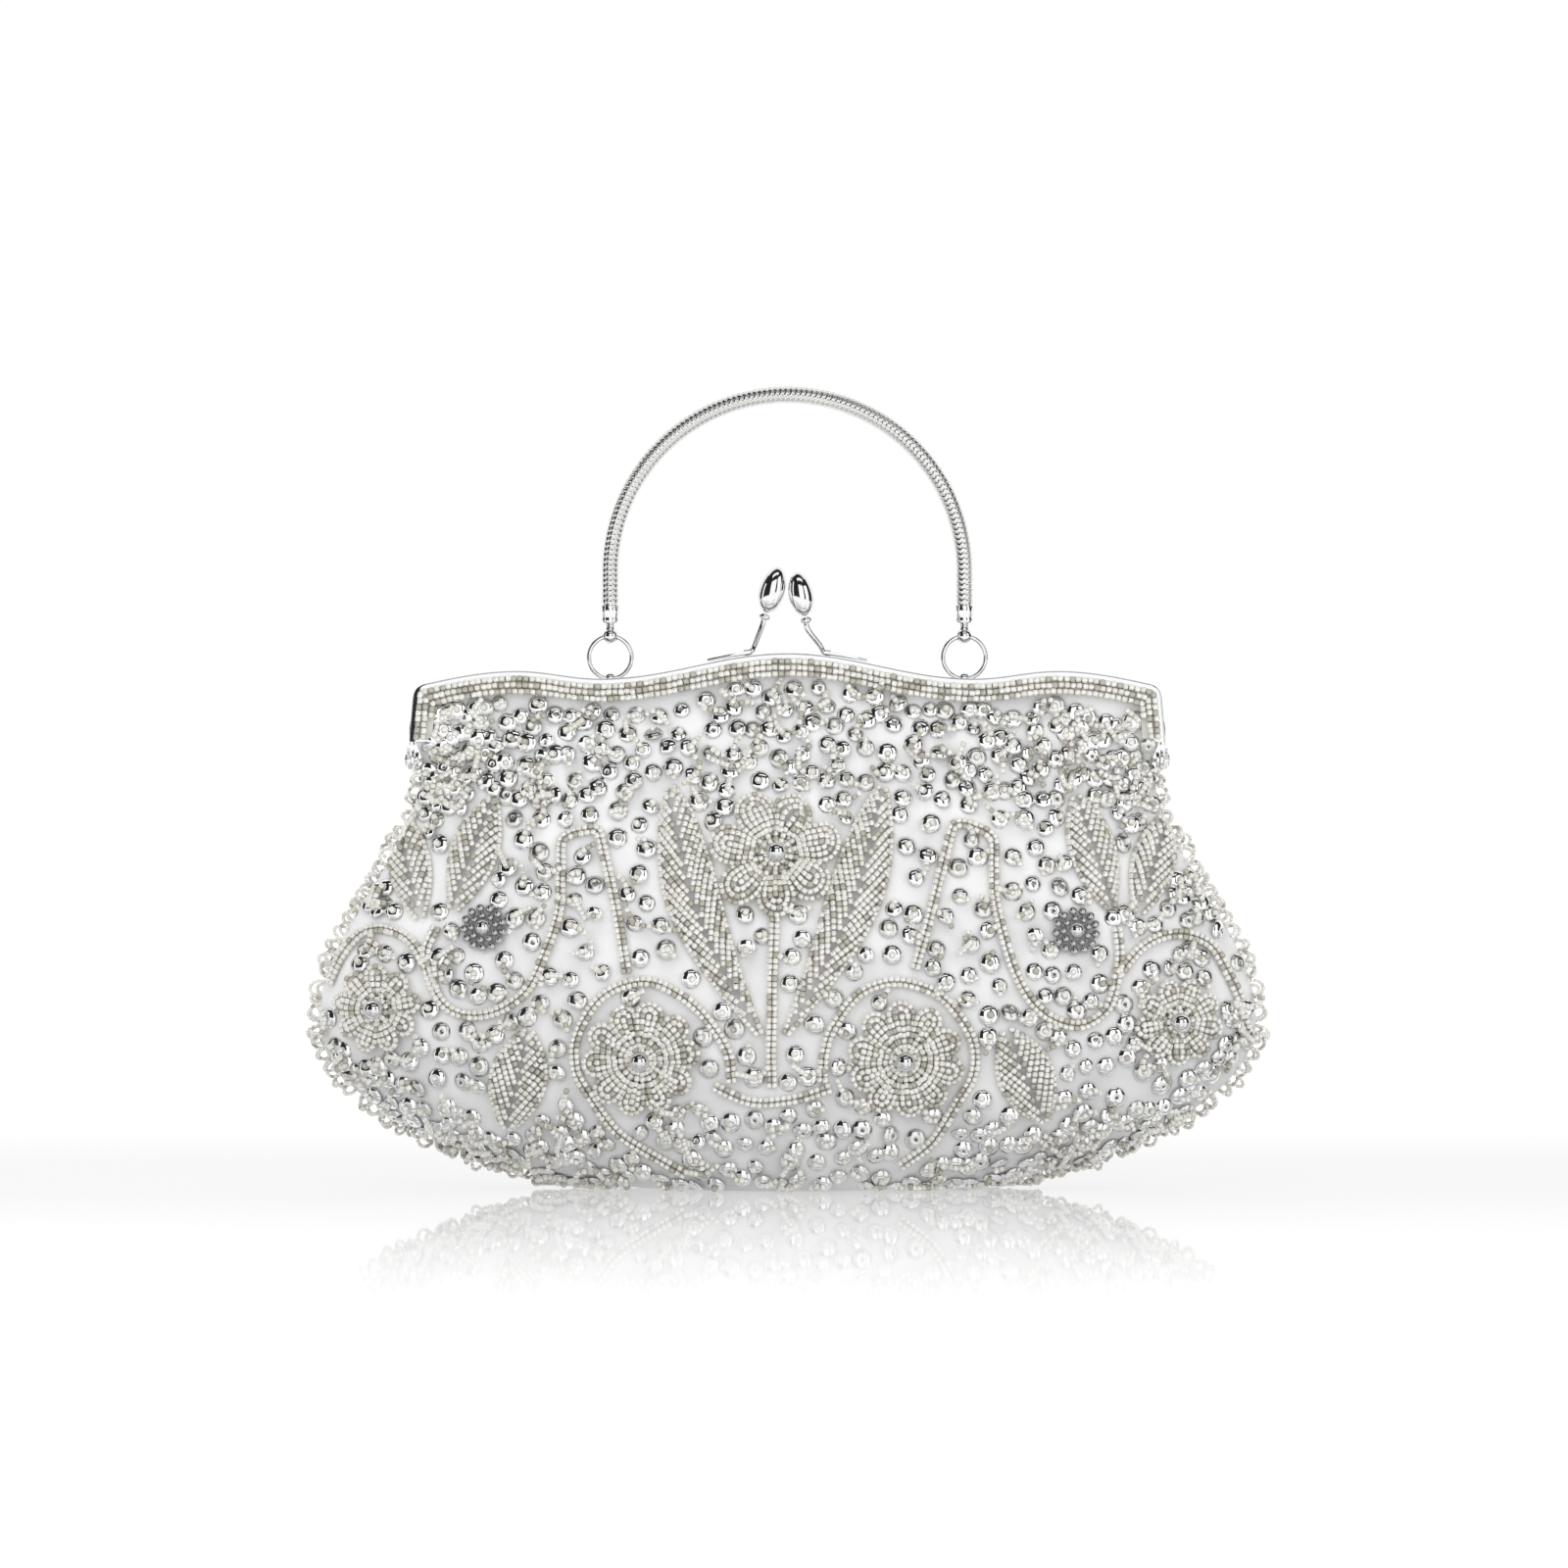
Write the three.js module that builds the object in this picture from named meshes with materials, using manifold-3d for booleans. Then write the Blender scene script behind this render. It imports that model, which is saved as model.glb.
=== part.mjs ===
// Beaded evening bag: a padded satin pouch on a two-part metal frame with a ball clasp, and a stiff
// snake-chain handle on two rings.  Millimetres, +Z up, front towards -Y, right towards +X.
// The origin is on the ground under the middle of the whole bag.
import * as THREE from 'three';
import { mergeVertices } from 'three/addons/utils/BufferGeometryUtils.js';
import Module from 'manifold-3d';

const wasm = await Module();
wasm.setup();

// ---------------------------------------------------------------- driving dimensions

const fit = 0.3; // clearance between pieces that touch

// Rim of the frame from the front: a wave with a crown, a dip for each handle ring and a shoulder
const rimHalfWidth = 112;
const crownHeight = 160.6;
const dipHeight = 153;
const shoulderHeight = 155.3;
const dipAt = 56;
const shoulderAt = 81;
const endFall = 7.9; // height that the wave would lose in one half period past the shoulder
const endPeriod = 56;
const cornerRadius = 3.5;
const armLean = 2; // each arm stands this much further out at the hinge than at the corner

// Frame halves: bent sheet channels that hold the edges of the cloth
const sheet = 0.8;
const halfGap = 0.4; // between the two closed halves
const grooveRunOut = 1; // the groove is cut this far past the end of each arm
const legDepth = 5.5; // inside depth of the channel
const edgeInset = 2.2; // cloth edges stop this far inside the rim
const cordDiameter = 1.1; // paper cord pressed in beside the cloth
const cordInset = 2.9;

// Hinges at the ends of the arms
const hingeHeight = 128.5;
const armEndAboveHinge = 5.5;
const earRadius = 3;
const earTop = 11.5; // height above the hinge to which an ear is lapped on its arm
const pinRadius = 1;
const rivetHeadRadius = 2.4;
const rivetHeadThickness = 1;

// Cloth
const panelThickness = 1.2;
const panelEdgeThickness = 1;
const paddingThickness = 1.6;
const liningThickness = 0.8;
const seamHalfGap = 0.3;
const lapDepth = 0.8; // the rear layers' throat strips lap their pouch shells by this much
const hingeClothGap = 1.05; // between the throat's side seams and the rivet heads
const flatBelowChannel = 2; // the cloth lies in the channel's plane from this far below it
const cornerZone = 22.4; // from this far inside the rim's ends the cloth turns into the arms' channels
const cornerBlend = 14.6; // length of that turn along the rim
const columnSpacing = 19; // mean distance between the points along the cloth's upper edge

// Pouch: half-width and half-depth at the base, at the belly and at the throat below the frame
const baseHalfWidth = 44;
const baseHalfDepth = 15;
const bellyHeight = 50;
const bellyHalfWidth = 141;
const bellyHalfDepth = 28;
const throatHalfDepth = 11.5;
const lensPower = 0.625; // 0.5 is an ellipse, more is a sharper side seam
const baseRound = 0.65; // shape of the pouch's sides from the base up to the belly

// Bead trim along each rim
const trimInset = 1.3;
const trimWidth = 6;
const trimThickness = 1.7;
const trimEndGap = 3; // from each end of the trim to the end of the rim

// Clasp: a foot on each rim, a bent wire, a collar and an egg-shaped ball
const footFrom = 11;
const footTo = 24;
const footThickness = 1.2;
const footWidth = 3.2;
const claspWireRadius = 0.95;
const kneeAt = 9.8;
const kneeAboveRim = 3;
const collarRadius = 1.9;
const collarLength = 1.9;
const ballCross = 0.8; // each ball stands this far past the middle plane
const ballTaper = 0.12; // how much slimmer than an egg's middle the top of a ball is
const stemRoot = 2; // length of wire soldered on the foot
const claspBalls = {
  front: { x: 4.45, height: 179.7, tilt: 16, length: 14.4, radius: 4.1 },
  rear: { x: 4.05, height: 178.4, tilt: 11.4, length: 13.6, radius: 3.85 },
};

// Handle
const handleHalfSpan = 53.5;
const lugHoleRadius = 1.25;
const lugWall = 0.65;
const lugLength = 2.4;
const lugHoleHeight = 153;
const ringRadius = 6.45; // to the middle of the wire
const ringWireRadius = 0.75;
const eyeRadius = 2.45;
const eyeHoleRadius = 1.5;
const neckRadius = 1.25;
const neckTop = 3.6; // above the eye's centre
const ferruleRadius = 2.75;
const ferruleLength = 5;
const chainRadius = 2.5;
const archCentreHeight = 185.3;

// Slip pocket on the rear lining
const pocketHalfWidth = 52;
const pocketBottom = 42;
const pocketTop = 92;
const pocketThickness = 0.6;
const pocketStandOff = 1;

// Bead motifs on the front panel: places are x and height
const motifLift = 0.45;
const motifThickness = 1.4;
const flowers = {
  centre: { x: -3.5, height: 100.3, radius: 17 },
  inner_left: { x: -43.2, height: 40.3, radius: 15 },
  inner_right: { x: 34.7, height: 40, radius: 15 },
  outer_left: { x: -121, height: 54, radius: 12 },
  outer_right: { x: 116.2, height: 50.6, radius: 12 },
};
const domeRadius = 2.75;
const rosettes = {
  left: { x: -90, height: 78.5 },
  right: { x: 85.6, height: 77.6 },
};
const rosetteRadius = 6.8;
const rosetteBallRadius = 1.2;
// Only the front carries motifs, so the middle plane stands this far behind the middle of the whole depth
const middleSetBack = 3.1;
const leaves = {
  centre_left: { base: [-13.5, 47], tip: [-36, 118], halfWidth: 8 },
  centre_right: { base: [4, 47], tip: [32, 118], halfWidth: 8 },
  upper_left: { base: [-101, 84], tip: [-89, 115], halfWidth: 6 },
  upper_right: { base: [97.4, 84], tip: [87, 116], halfWidth: 6 },
  side_left: { base: [-112, 79], tip: [-107, 109], halfWidth: 5 },
  side_right: { base: [106, 81], tip: [109, 109], halfWidth: 5 },
  lower_left: { base: [-83.2, 19], tip: [-76.5, 48.8], halfWidth: 7 },
  lower_right: { base: [76.5, 21], tip: [64.7, 48.8], halfWidth: 6 },
};

// ---------------------------------------------------------------- derived sizes

const channelWidth = 2 * sheet + 4 * fit + liningThickness + cordDiameter + panelEdgeThickness;
const channelInner = halfGap / 2; // distance of a half's inner face from the middle plane
const channelOuter = channelInner + channelWidth;
const channelMiddle = (channelInner + channelOuter) / 2;
const liningInGroove = channelInner + sheet + fit;
const cordInGroove = liningInGroove + liningThickness + fit + cordDiameter / 2;
const panelInGroove = cordInGroove + cordDiameter / 2 + fit;
const channelDepth = sheet + legDepth;
const armEnd = hingeHeight + armEndAboveHinge;
const earFace = rimHalfWidth + armLean; // outer face of the front ears
const innerEarFace = earFace - sheet - fit; // outer face of the rear ears
const pinHoleRadius = pinRadius + fit;
const throatHeight = hingeHeight + fit;
const throatHalfWidth = innerEarFace - sheet - fit - rivetHeadThickness - hingeClothGap;
const paddingOffset = panelThickness + fit;
const liningOffset = paddingOffset + paddingThickness + fit;
const lugAxis = channelOuter + lugHoleRadius + lugWall + fit;
const trimHalfLength = rimHalfWidth - trimEndGap;
const ringCentreHeight = lugHoleHeight + ringRadius;
const eyeHeight = ringCentreHeight + ringRadius;
const ferruleBottom = eyeHeight + neckTop + fit;
const chainBottom = ferruleBottom + ferruleLength + fit;

// ---------------------------------------------------------------- materials

function finish(color, roughness, metalness) {
  return new THREE.MeshStandardMaterial({ color, roughness, metalness });
}
const nickel = finish(0xd9dadb, 0.12, 1);
const steel = finish(0xb9bbbd, 0.25, 1);
const satin = finish(0xd8d8da, 0.45, 0);
const beads = finish(0xc9c6bb, 0.3, 0.3);
const wadding = finish(0xf2f1ee, 0.95, 0);
const liningCloth = finish(0xb9bac2, 0.6, 0);
const paper = finish(0xd8c9a6, 0.9, 0);

// ---------------------------------------------------------------- geometry helpers

const bag = new THREE.Group();

// Every piece is drawn about the middle plane of the pouch, then moved back with it
function add(name, geometry, material) {
  const mesh = new THREE.Mesh(geometry.translate(0, middleSetBack, 0), material);
  mesh.name = name;
  bag.add(mesh);
  return mesh;
}

function solid(geometry) {
  const bare = geometry.clone();
  bare.deleteAttribute('normal');
  bare.deleteAttribute('uv');
  const merged = mergeVertices(bare, 1e-4);
  const triVerts = new Uint32Array(merged.index.array);
  const vertProperties = new Float32Array(merged.attributes.position.array);
  return new wasm.Manifold(new wasm.Mesh({ numProp: 3, vertProperties, triVerts }));
}

function geometryOf(manifold) {
  const { vertProperties, triVerts } = manifold.getMesh();
  const geometry = new THREE.BufferGeometry();
  geometry.setAttribute('position', new THREE.BufferAttribute(new Float32Array(vertProperties), 3));
  geometry.setIndex(new THREE.BufferAttribute(new Uint32Array(triVerts), 1));
  return geometry;
}

function box(x0, x1, y0, y1, z0, z1) {
  const geometry = new THREE.BoxGeometry(x1 - x0, y1 - y0, z1 - z0);
  return geometry.translate((x0 + x1) / 2, (y0 + y1) / 2, (z0 + z1) / 2);
}

// Turns a profile of [radius, height] points about Z
function turned(profile, segments) {
  const points = profile.map(([radius, height]) => new THREE.Vector2(radius, height));
  return new THREE.LatheGeometry(points, segments).rotateX(Math.PI / 2);
}

// A front view outline, extruded from yNear to yFar (both measured forwards, towards -Y)
function frontExtrusion(points, yNear, yFar) {
  const options = { depth: yFar - yNear, bevelEnabled: false };
  return new THREE.ExtrudeGeometry(new THREE.Shape(points), options).rotateX(Math.PI / 2).translate(0, -yNear, 0);
}

// A side view shape in (y, z), extruded along X from x0 to x1
function sideExtrusion(shape, x0, x1, curveSegments) {
  const options = { depth: x1 - x0, bevelEnabled: false, curveSegments };
  const toSide = new THREE.Matrix4().makeBasis(
    new THREE.Vector3(0, 1, 0),
    new THREE.Vector3(0, 0, 1),
    new THREE.Vector3(1, 0, 0),
  );
  return new THREE.ExtrudeGeometry(shape, options).applyMatrix4(toSide).translate(x0, 0, 0);
}

function roundSection(radius, sides) {
  const points = [];
  for (let i = 0; i < sides; i += 1) {
    const angle = (2 * Math.PI * i) / sides;
    points.push(new THREE.Vector2(radius * Math.cos(angle), radius * Math.sin(angle)));
  }
  return new THREE.Shape(points);
}

function tube(path, radius, sides, steps) {
  return new THREE.ExtrudeGeometry(roundSection(radius, sides), { steps, extrudePath: path });
}

// Closed solid through rings of equal length; each ring is a list of Vector3, lowest ring first
function loft(rings) {
  const count = rings[0].length;
  const positions = rings.flat().flatMap((point) => point.toArray());
  const index = [];
  for (let row = 0; row + 1 < rings.length; row += 1) {
    for (let i = 0; i < count; i += 1) {
      const a = row * count + i;
      const b = row * count + ((i + 1) % count);
      index.push(a, b, a + count, b, b + count, a + count);
    }
  }
  const outline = rings[0].map((point) => new THREE.Vector2(point.x, point.y));
  const last = (rings.length - 1) * count;
  for (const [a, b, c] of THREE.ShapeUtils.triangulateShape(outline, [])) {
    index.push(c, b, a);
  }
  const topOutline = rings[rings.length - 1].map((point) => new THREE.Vector2(point.x, point.y));
  for (const [a, b, c] of THREE.ShapeUtils.triangulateShape(topOutline, [])) {
    index.push(last + a, last + b, last + c);
  }
  const geometry = new THREE.BufferGeometry();
  geometry.setAttribute('position', new THREE.Float32BufferAttribute(positions, 3));
  geometry.setIndex(index);
  return geometry;
}

// A plate that follows a surface: grid[row][column] holds [x, height] from the left and from below,
// and depth(x, height) is the distance of its back face in front of the middle plane
function plate(grid, depth, thickness) {
  const rows = grid.length;
  const columns = grid[0].length;
  const positions = [];
  for (const lift of [thickness, 0]) {
    for (const [x, height] of grid.flat()) {
      positions.push(x, -(depth(x, height) + lift), height);
    }
  }
  const index = [];
  const back = rows * columns;
  const quad = (a, b, c, d) => index.push(a, b, c, a, c, d);
  for (let row = 0; row + 1 < rows; row += 1) {
    for (let column = 0; column + 1 < columns; column += 1) {
      const a = row * columns + column;
      quad(a, a + 1, a + columns + 1, a + columns);
      quad(back + a, back + a + columns, back + a + columns + 1, back + a + 1);
    }
  }
  for (let column = 0; column + 1 < columns; column += 1) {
    const top = (rows - 1) * columns + column;
    quad(back + column, back + column + 1, column + 1, column);
    quad(top, top + 1, back + top + 1, back + top);
  }
  for (let row = 0; row + 1 < rows; row += 1) {
    const left = row * columns;
    const right = left + columns - 1;
    quad(left, left + columns, back + left + columns, back + left);
    quad(back + right, back + right + columns, right + columns, right);
  }
  const geometry = new THREE.BufferGeometry();
  geometry.setAttribute('position', new THREE.Float32BufferAttribute(positions, 3));
  geometry.setIndex(index);
  return geometry;
}

function toRear(geometry) {
  return geometry.rotateZ(Math.PI);
}

function smooth(share) {
  const t = THREE.MathUtils.clamp(share, 0, 1);
  return t * t * (3 - 2 * t);
}

// ---------------------------------------------------------------- rim of the frame

// Half a cosine wave from one height to another
function swing(from, to, share) {
  return from + ((to - from) * (1 - Math.cos(Math.PI * share))) / 2;
}

function rimHeight(x) {
  const distance = Math.abs(x);
  if (distance < dipAt) {
    return swing(crownHeight, dipHeight, distance / dipAt);
  }
  if (distance < shoulderAt) {
    return swing(dipHeight, shoulderHeight, (distance - dipAt) / (shoulderAt - dipAt));
  }
  return swing(shoulderHeight, shoulderHeight - endFall, (distance - shoulderAt) / endPeriod);
}

// Point of the rim's top line, moved inwards at right angles to it
function rimPoint(x, inset) {
  const step = 0.01;
  const slope = (rimHeight(x + step) - rimHeight(x - step)) / (2 * step);
  const length = Math.hypot(slope, 1);
  return new THREE.Vector2(x + (inset * slope) / length, rimHeight(x) - inset / length);
}

const cornerHeight = rimHeight(rimHalfWidth);

function armX(height) {
  return rimHalfWidth + (armLean * (cornerHeight - height)) / (cornerHeight - hingeHeight);
}

// Where the top line meets the right arm, both moved in by the same inset
function cornerX(inset) {
  let x = rimHalfWidth;
  for (let i = 0; i < 12; i += 1) {
    const point = rimPoint(x, inset);
    x += armX(point.y) - inset - point.x;
  }
  return x;
}

// Outline of the whole rim from the end of the left arm to the end of the right arm
function rimOutline(inset, end = armEnd) {
  const topSteps = 10;
  const cornerSteps = 3;
  const radius = Math.max(cornerRadius - inset, 0.6);
  const meet = cornerX(inset);
  const right = [];
  for (let i = 0; i <= topSteps; i += 1) {
    right.push(rimPoint(((meet - radius) * i) / topSteps, inset));
  }
  const corner = rimPoint(meet, inset);
  const below = corner.y - radius;
  const armStart = new THREE.Vector2(armX(below) - inset, below);
  const bend = new THREE.QuadraticBezierCurve(right[topSteps], corner, armStart);
  right.push(...bend.getPoints(cornerSteps).slice(1));
  right.push(new THREE.Vector2(armX(end) - inset, end));
  const left = right.slice(1).map((point) => new THREE.Vector2(-point.x, point.y));
  return [...left.reverse(), ...right];
}

// Outline of the band between two insets
function rimBand(outer, inner, end) {
  return [...rimOutline(outer, end), ...rimOutline(inner, end).reverse()];
}

// ---------------------------------------------------------------- frame halves and hinges

// Ear at the end of an arm, in the side view, for the front half
function earShape() {
  const top = hingeHeight + earTop;
  const shape = new THREE.Shape();
  shape.moveTo(-channelOuter, top);
  shape.lineTo(-channelInner, top);
  shape.lineTo(-channelInner, armEnd);
  shape.absarc(0, hingeHeight, earRadius, 0.35, -Math.PI - 0.2, true);
  shape.lineTo(-channelOuter, armEnd);
  shape.closePath();
  const hole = new THREE.Path();
  hole.absarc(0, hingeHeight, pinHoleRadius, 0, 2 * Math.PI, false);
  shape.holes.push(hole);
  return shape;
}

function frameHalf(face) {
  const band = solid(frontExtrusion(rimBand(0, channelDepth), channelInner, channelOuter));
  const grooveEnd = armEnd - grooveRunOut;
  const grooveBand = rimBand(sheet, channelDepth + 1, grooveEnd);
  const groove = solid(frontExtrusion(grooveBand, channelInner + sheet, channelOuter - sheet));
  const rightEar = solid(sideExtrusion(earShape(), face - sheet, face, 12));
  const leftEar = solid(sideExtrusion(earShape(), -face, sheet - face, 12));
  return geometryOf(band.subtract(groove).add(rightEar).add(leftEar));
}

function hingeRivet() {
  const inside = innerEarFace - sheet - fit;
  const outside = earFace + fit;
  const profile = [
    [0, inside - rivetHeadThickness],
    [rivetHeadRadius, inside - rivetHeadThickness],
    [rivetHeadRadius, inside],
    [pinRadius, inside],
    [pinRadius, outside],
    [rivetHeadRadius, outside],
    [0.7 * rivetHeadRadius, outside + rivetHeadThickness],
    [0, outside + rivetHeadThickness],
  ];
  return turned(profile, 12).rotateY(Math.PI / 2).translate(0, 0, hingeHeight);
}

add('front_frame', frameHalf(earFace), nickel);
add('rear_frame', toRear(frameHalf(innerEarFace)), nickel);
add('hinge_rivet_right', hingeRivet(), nickel);
add('hinge_rivet_left', toRear(hingeRivet()), nickel);

// ---------------------------------------------------------------- bead trims and frame cords

function beadTrim() {
  const steps = 20;
  const upper = [];
  const lower = [];
  for (let i = 0; i <= steps; i += 1) {
    const x = trimHalfLength * ((2 * i) / steps - 1);
    upper.push(rimPoint(x, trimInset));
    lower.push(rimPoint(x, trimInset + trimWidth));
  }
  const near = channelOuter + fit;
  return frontExtrusion([...upper, ...lower.reverse()], near, near + trimThickness);
}

// The rear trim is notched where the handle lugs are soldered on
function rearTrim() {
  let trim = solid(toRear(beadTrim()));
  const reach = lugLength / 2 + fit;
  const notchBottom = lugHoleHeight - lugHoleRadius - lugWall - fit;
  for (const side of [-1, 1]) {
    const x = side * handleHalfSpan;
    const notch = box(x - reach, x + reach, channelOuter, lugAxis, notchBottom, crownHeight);
    trim = trim.subtract(solid(notch));
  }
  return geometryOf(trim);
}

function frameCord() {
  const points = rimOutline(cordInset, armEnd + fit).map(
    (point) => new THREE.Vector3(point.x, -cordInGroove, point.y),
  );
  const path = new THREE.CurvePath();
  for (let i = 0; i + 1 < points.length; i += 1) {
    path.add(new THREE.LineCurve3(points[i], points[i + 1]));
  }
  return tube(path, cordDiameter / 2, 5, 36);
}

add('front_bead_trim', beadTrim(), beads);
add('rear_bead_trim', rearTrim(), beads);
add('front_frame_cord', frameCord(), paper);
add('rear_frame_cord', toRear(frameCord()), paper);

// ---------------------------------------------------------------- clasp

// Points of one clasp, in its own frame: the foot lies towards -X on the front rim
function claspPlan(ball) {
  const tilt = THREE.MathUtils.degToRad(ball.tilt);
  const axis = new THREE.Vector3(Math.sin(tilt), 0, Math.cos(tilt));
  const centre = new THREE.Vector3(-ball.x, ballCross, ball.height);
  const bottom = centre.clone().addScaledVector(axis, -ball.length / 2);
  const collarTop = bottom.clone().addScaledVector(axis, -fit);
  return { tilt, axis, centre, collarTop };
}

function claspBall(ball) {
  const { tilt, centre } = claspPlan(ball);
  const steps = 8;
  const profile = [];
  for (let i = 0; i <= steps; i += 1) {
    const angle = (Math.PI * i) / steps;
    const radius = i % steps === 0 ? 0 : ball.radius * Math.sin(angle) * (1 + ballTaper * Math.cos(angle));
    profile.push([radius, (-ball.length / 2) * Math.cos(angle)]);
  }
  return turned(profile, 12).rotateY(tilt).translate(centre.x, centre.y, centre.z);
}

function claspStem(ball) {
  const { tilt, axis, collarTop } = claspPlan(ball);
  const collarBottom = collarTop.clone().addScaledVector(axis, -collarLength);
  const footMiddle = rimHeight(footFrom + stemRoot) + fit + footThickness / 2;
  const kneeHeight = rimHeight(kneeAt) + kneeAboveRim;
  const kneeY = THREE.MathUtils.lerp(-channelMiddle, collarBottom.y, 0.35);
  const path = new THREE.CatmullRomCurve3([
    new THREE.Vector3(-footFrom - stemRoot, -channelMiddle, footMiddle + 0.2),
    new THREE.Vector3(-footFrom, -channelMiddle, footMiddle + footThickness / 2),
    new THREE.Vector3(-kneeAt, kneeY, kneeHeight),
    collarBottom.clone().addScaledVector(axis, -collarLength),
    collarTop.clone().addScaledVector(axis, -collarLength / 2),
  ]);
  const wire = solid(tube(path, claspWireRadius, 8, 8));
  const collarProfile = [
    [0, 0],
    [0.75 * collarRadius, 0],
    [collarRadius, collarLength / 2],
    [0.75 * collarRadius, collarLength],
    [0, collarLength],
  ];
  const collar = turned(collarProfile, 8).rotateY(tilt).translate(...collarBottom.toArray());
  const under = [];
  const over = [];
  for (let i = 0; i <= 4; i += 1) {
    const x = -THREE.MathUtils.lerp(footTo, footFrom, i / 4);
    under.push(new THREE.Vector2(x, rimHeight(x) + fit));
    over.push(new THREE.Vector2(x, rimHeight(x) + fit + footThickness));
  }
  const near = channelMiddle - footWidth / 2;
  const foot = frontExtrusion([...under, ...over.reverse()], near, near + footWidth);
  return geometryOf(solid(foot).add(wire).add(solid(collar)));
}

add('front_clasp_stem', claspStem(claspBalls.front), nickel);
add('front_clasp_ball', claspBall(claspBalls.front), nickel);
add('rear_clasp_stem', toRear(claspStem(claspBalls.rear)), nickel);
add('rear_clasp_ball', toRear(claspBall(claspBalls.rear)), nickel);

// ---------------------------------------------------------------- handle

// A small staple loop: its hole runs along X
function handleLug() {
  const shape = new THREE.Shape();
  shape.absarc(0, 0, lugHoleRadius + lugWall, 0, 2 * Math.PI, false);
  const hole = new THREE.Path();
  hole.absarc(0, 0, lugHoleRadius, 0, 2 * Math.PI, true);
  shape.holes.push(hole);
  return sideExtrusion(shape, -lugLength / 2, lugLength / 2, 10);
}

function handleEye() {
  const steps = 6;
  const profile = [[0, -eyeRadius]];
  for (let i = 1; i < steps; i += 1) {
    const angle = (Math.PI * i) / steps;
    profile.push([eyeRadius * Math.sin(angle), -eyeRadius * Math.cos(angle)]);
  }
  profile[steps - 1] = [neckRadius, Math.sqrt(eyeRadius ** 2 - neckRadius ** 2)];
  profile.push([neckRadius, neckTop], [0, neckTop]);
  const drill = new THREE.CylinderGeometry(eyeHoleRadius, eyeHoleRadius, 3 * eyeRadius, 12).rotateZ(Math.PI / 2);
  return geometryOf(solid(turned(profile, 12)).subtract(solid(drill)));
}

function handleFerrule() {
  const chamfer = 0.4;
  const profile = [
    [0, 0],
    [ferruleRadius - chamfer, 0],
    [ferruleRadius, chamfer],
    [ferruleRadius, ferruleLength],
    [0, ferruleLength],
  ];
  return turned(profile, 12);
}

class ArchPath extends THREE.Curve {
  getPoint(share, target = new THREE.Vector3()) {
    const leg = archCentreHeight - chainBottom;
    const arc = Math.PI * handleHalfSpan;
    const along = share * (2 * leg + arc);
    if (along < leg) {
      return target.set(-handleHalfSpan, lugAxis, chainBottom + along);
    }
    if (along > leg + arc) {
      return target.set(handleHalfSpan, lugAxis, archCentreHeight - (along - leg - arc));
    }
    const angle = Math.PI * (1 - (along - leg) / arc);
    const height = archCentreHeight + handleHalfSpan * Math.sin(angle);
    return target.set(handleHalfSpan * Math.cos(angle), lugAxis, height);
  }
}

for (const [name, side] of [['left', -1], ['right', 1]]) {
  const x = side * handleHalfSpan;
  add(`handle_lug_${name}`, handleLug(), nickel).position.set(x, lugAxis, lugHoleHeight);
  const ring = new THREE.TorusGeometry(ringRadius, ringWireRadius, 6, 24).rotateX(Math.PI / 2);
  add(`handle_ring_${name}`, ring, nickel).position.set(x, lugAxis, ringCentreHeight);
  add(`handle_eye_${name}`, handleEye(), nickel).position.set(x, lugAxis, eyeHeight);
  add(`handle_ferrule_${name}`, handleFerrule(), nickel).position.set(x, lugAxis, ferruleBottom);
}
add('snake_chain_handle', tube(new ArchPath(), chainRadius, 8, 34), steel);

// ---------------------------------------------------------------- pouch

function halfWidth(height) {
  if (height < bellyHeight) {
    const rise = (1 - (1 - height / bellyHeight) ** 2) ** baseRound;
    return baseHalfWidth + (bellyHalfWidth - baseHalfWidth) * rise;
  }
  return swing(bellyHalfWidth, throatHalfWidth, (height - bellyHeight) / (throatHeight - bellyHeight));
}

function halfDepth(height) {
  if (height < bellyHeight) {
    const rise = (1 - (1 - height / bellyHeight) ** 2) ** baseRound;
    return baseHalfDepth + (bellyHalfDepth - baseHalfDepth) * rise;
  }
  const share = (height - bellyHeight) / (throatHeight - bellyHeight);
  return bellyHalfDepth - (bellyHalfDepth - throatHalfDepth) * (1 - Math.cos((share * Math.PI) / 2));
}

// Distance of a pouch surface from the middle plane, the given offset inside the outer skin
function pouchDepth(x, height, offset = 0) {
  const z = THREE.MathUtils.clamp(height, 0, throatHeight);
  const across = Math.abs(x) / (halfWidth(z) - offset);
  return seamHalfGap + (halfDepth(z) - offset) * Math.max(1 - across ** 2, 0) ** lensPower;
}

const pouchHeights = [0, 0.05, 0.18, 0.38, 0.65, 1].map((share) => share * bellyHeight);
for (const share of [0.25, 0.5, 0.75, 1]) {
  pouchHeights.push(THREE.MathUtils.lerp(bellyHeight, throatHeight, share));
}

// Front half of the pouch as a solid lens, the given offset inside the outer skin;
// reach moves its flat side past the middle plane, and topShift moves its open end
function halfLens(offset, reach, topShift) {
  const segments = 14;
  const rings = pouchHeights.map((height, row) => {
    const top = row === pouchHeights.length - 1;
    const lift = offset * Math.max(1 - height / bellyHeight, 0) + (top ? topShift : 0);
    const wide = halfWidth(height) - offset;
    const deep = halfDepth(height) - offset;
    const ring = [];
    for (let i = 0; i <= segments; i += 1) {
      const angle = Math.PI * (1 + i / segments);
      const bulge = Math.abs(Math.sin(angle)) ** (2 * lensPower);
      const y = -(seamHalfGap + deep * bulge);
      ring.push(new THREE.Vector3(wide * Math.cos(angle), y, height + lift));
    }
    if (reach > 0) {
      ring.push(new THREE.Vector3(wide, reach, height + lift));
      ring.push(new THREE.Vector3(-wide, reach, height + lift));
    }
    return ring;
  });
  return solid(loft(rings));
}

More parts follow.
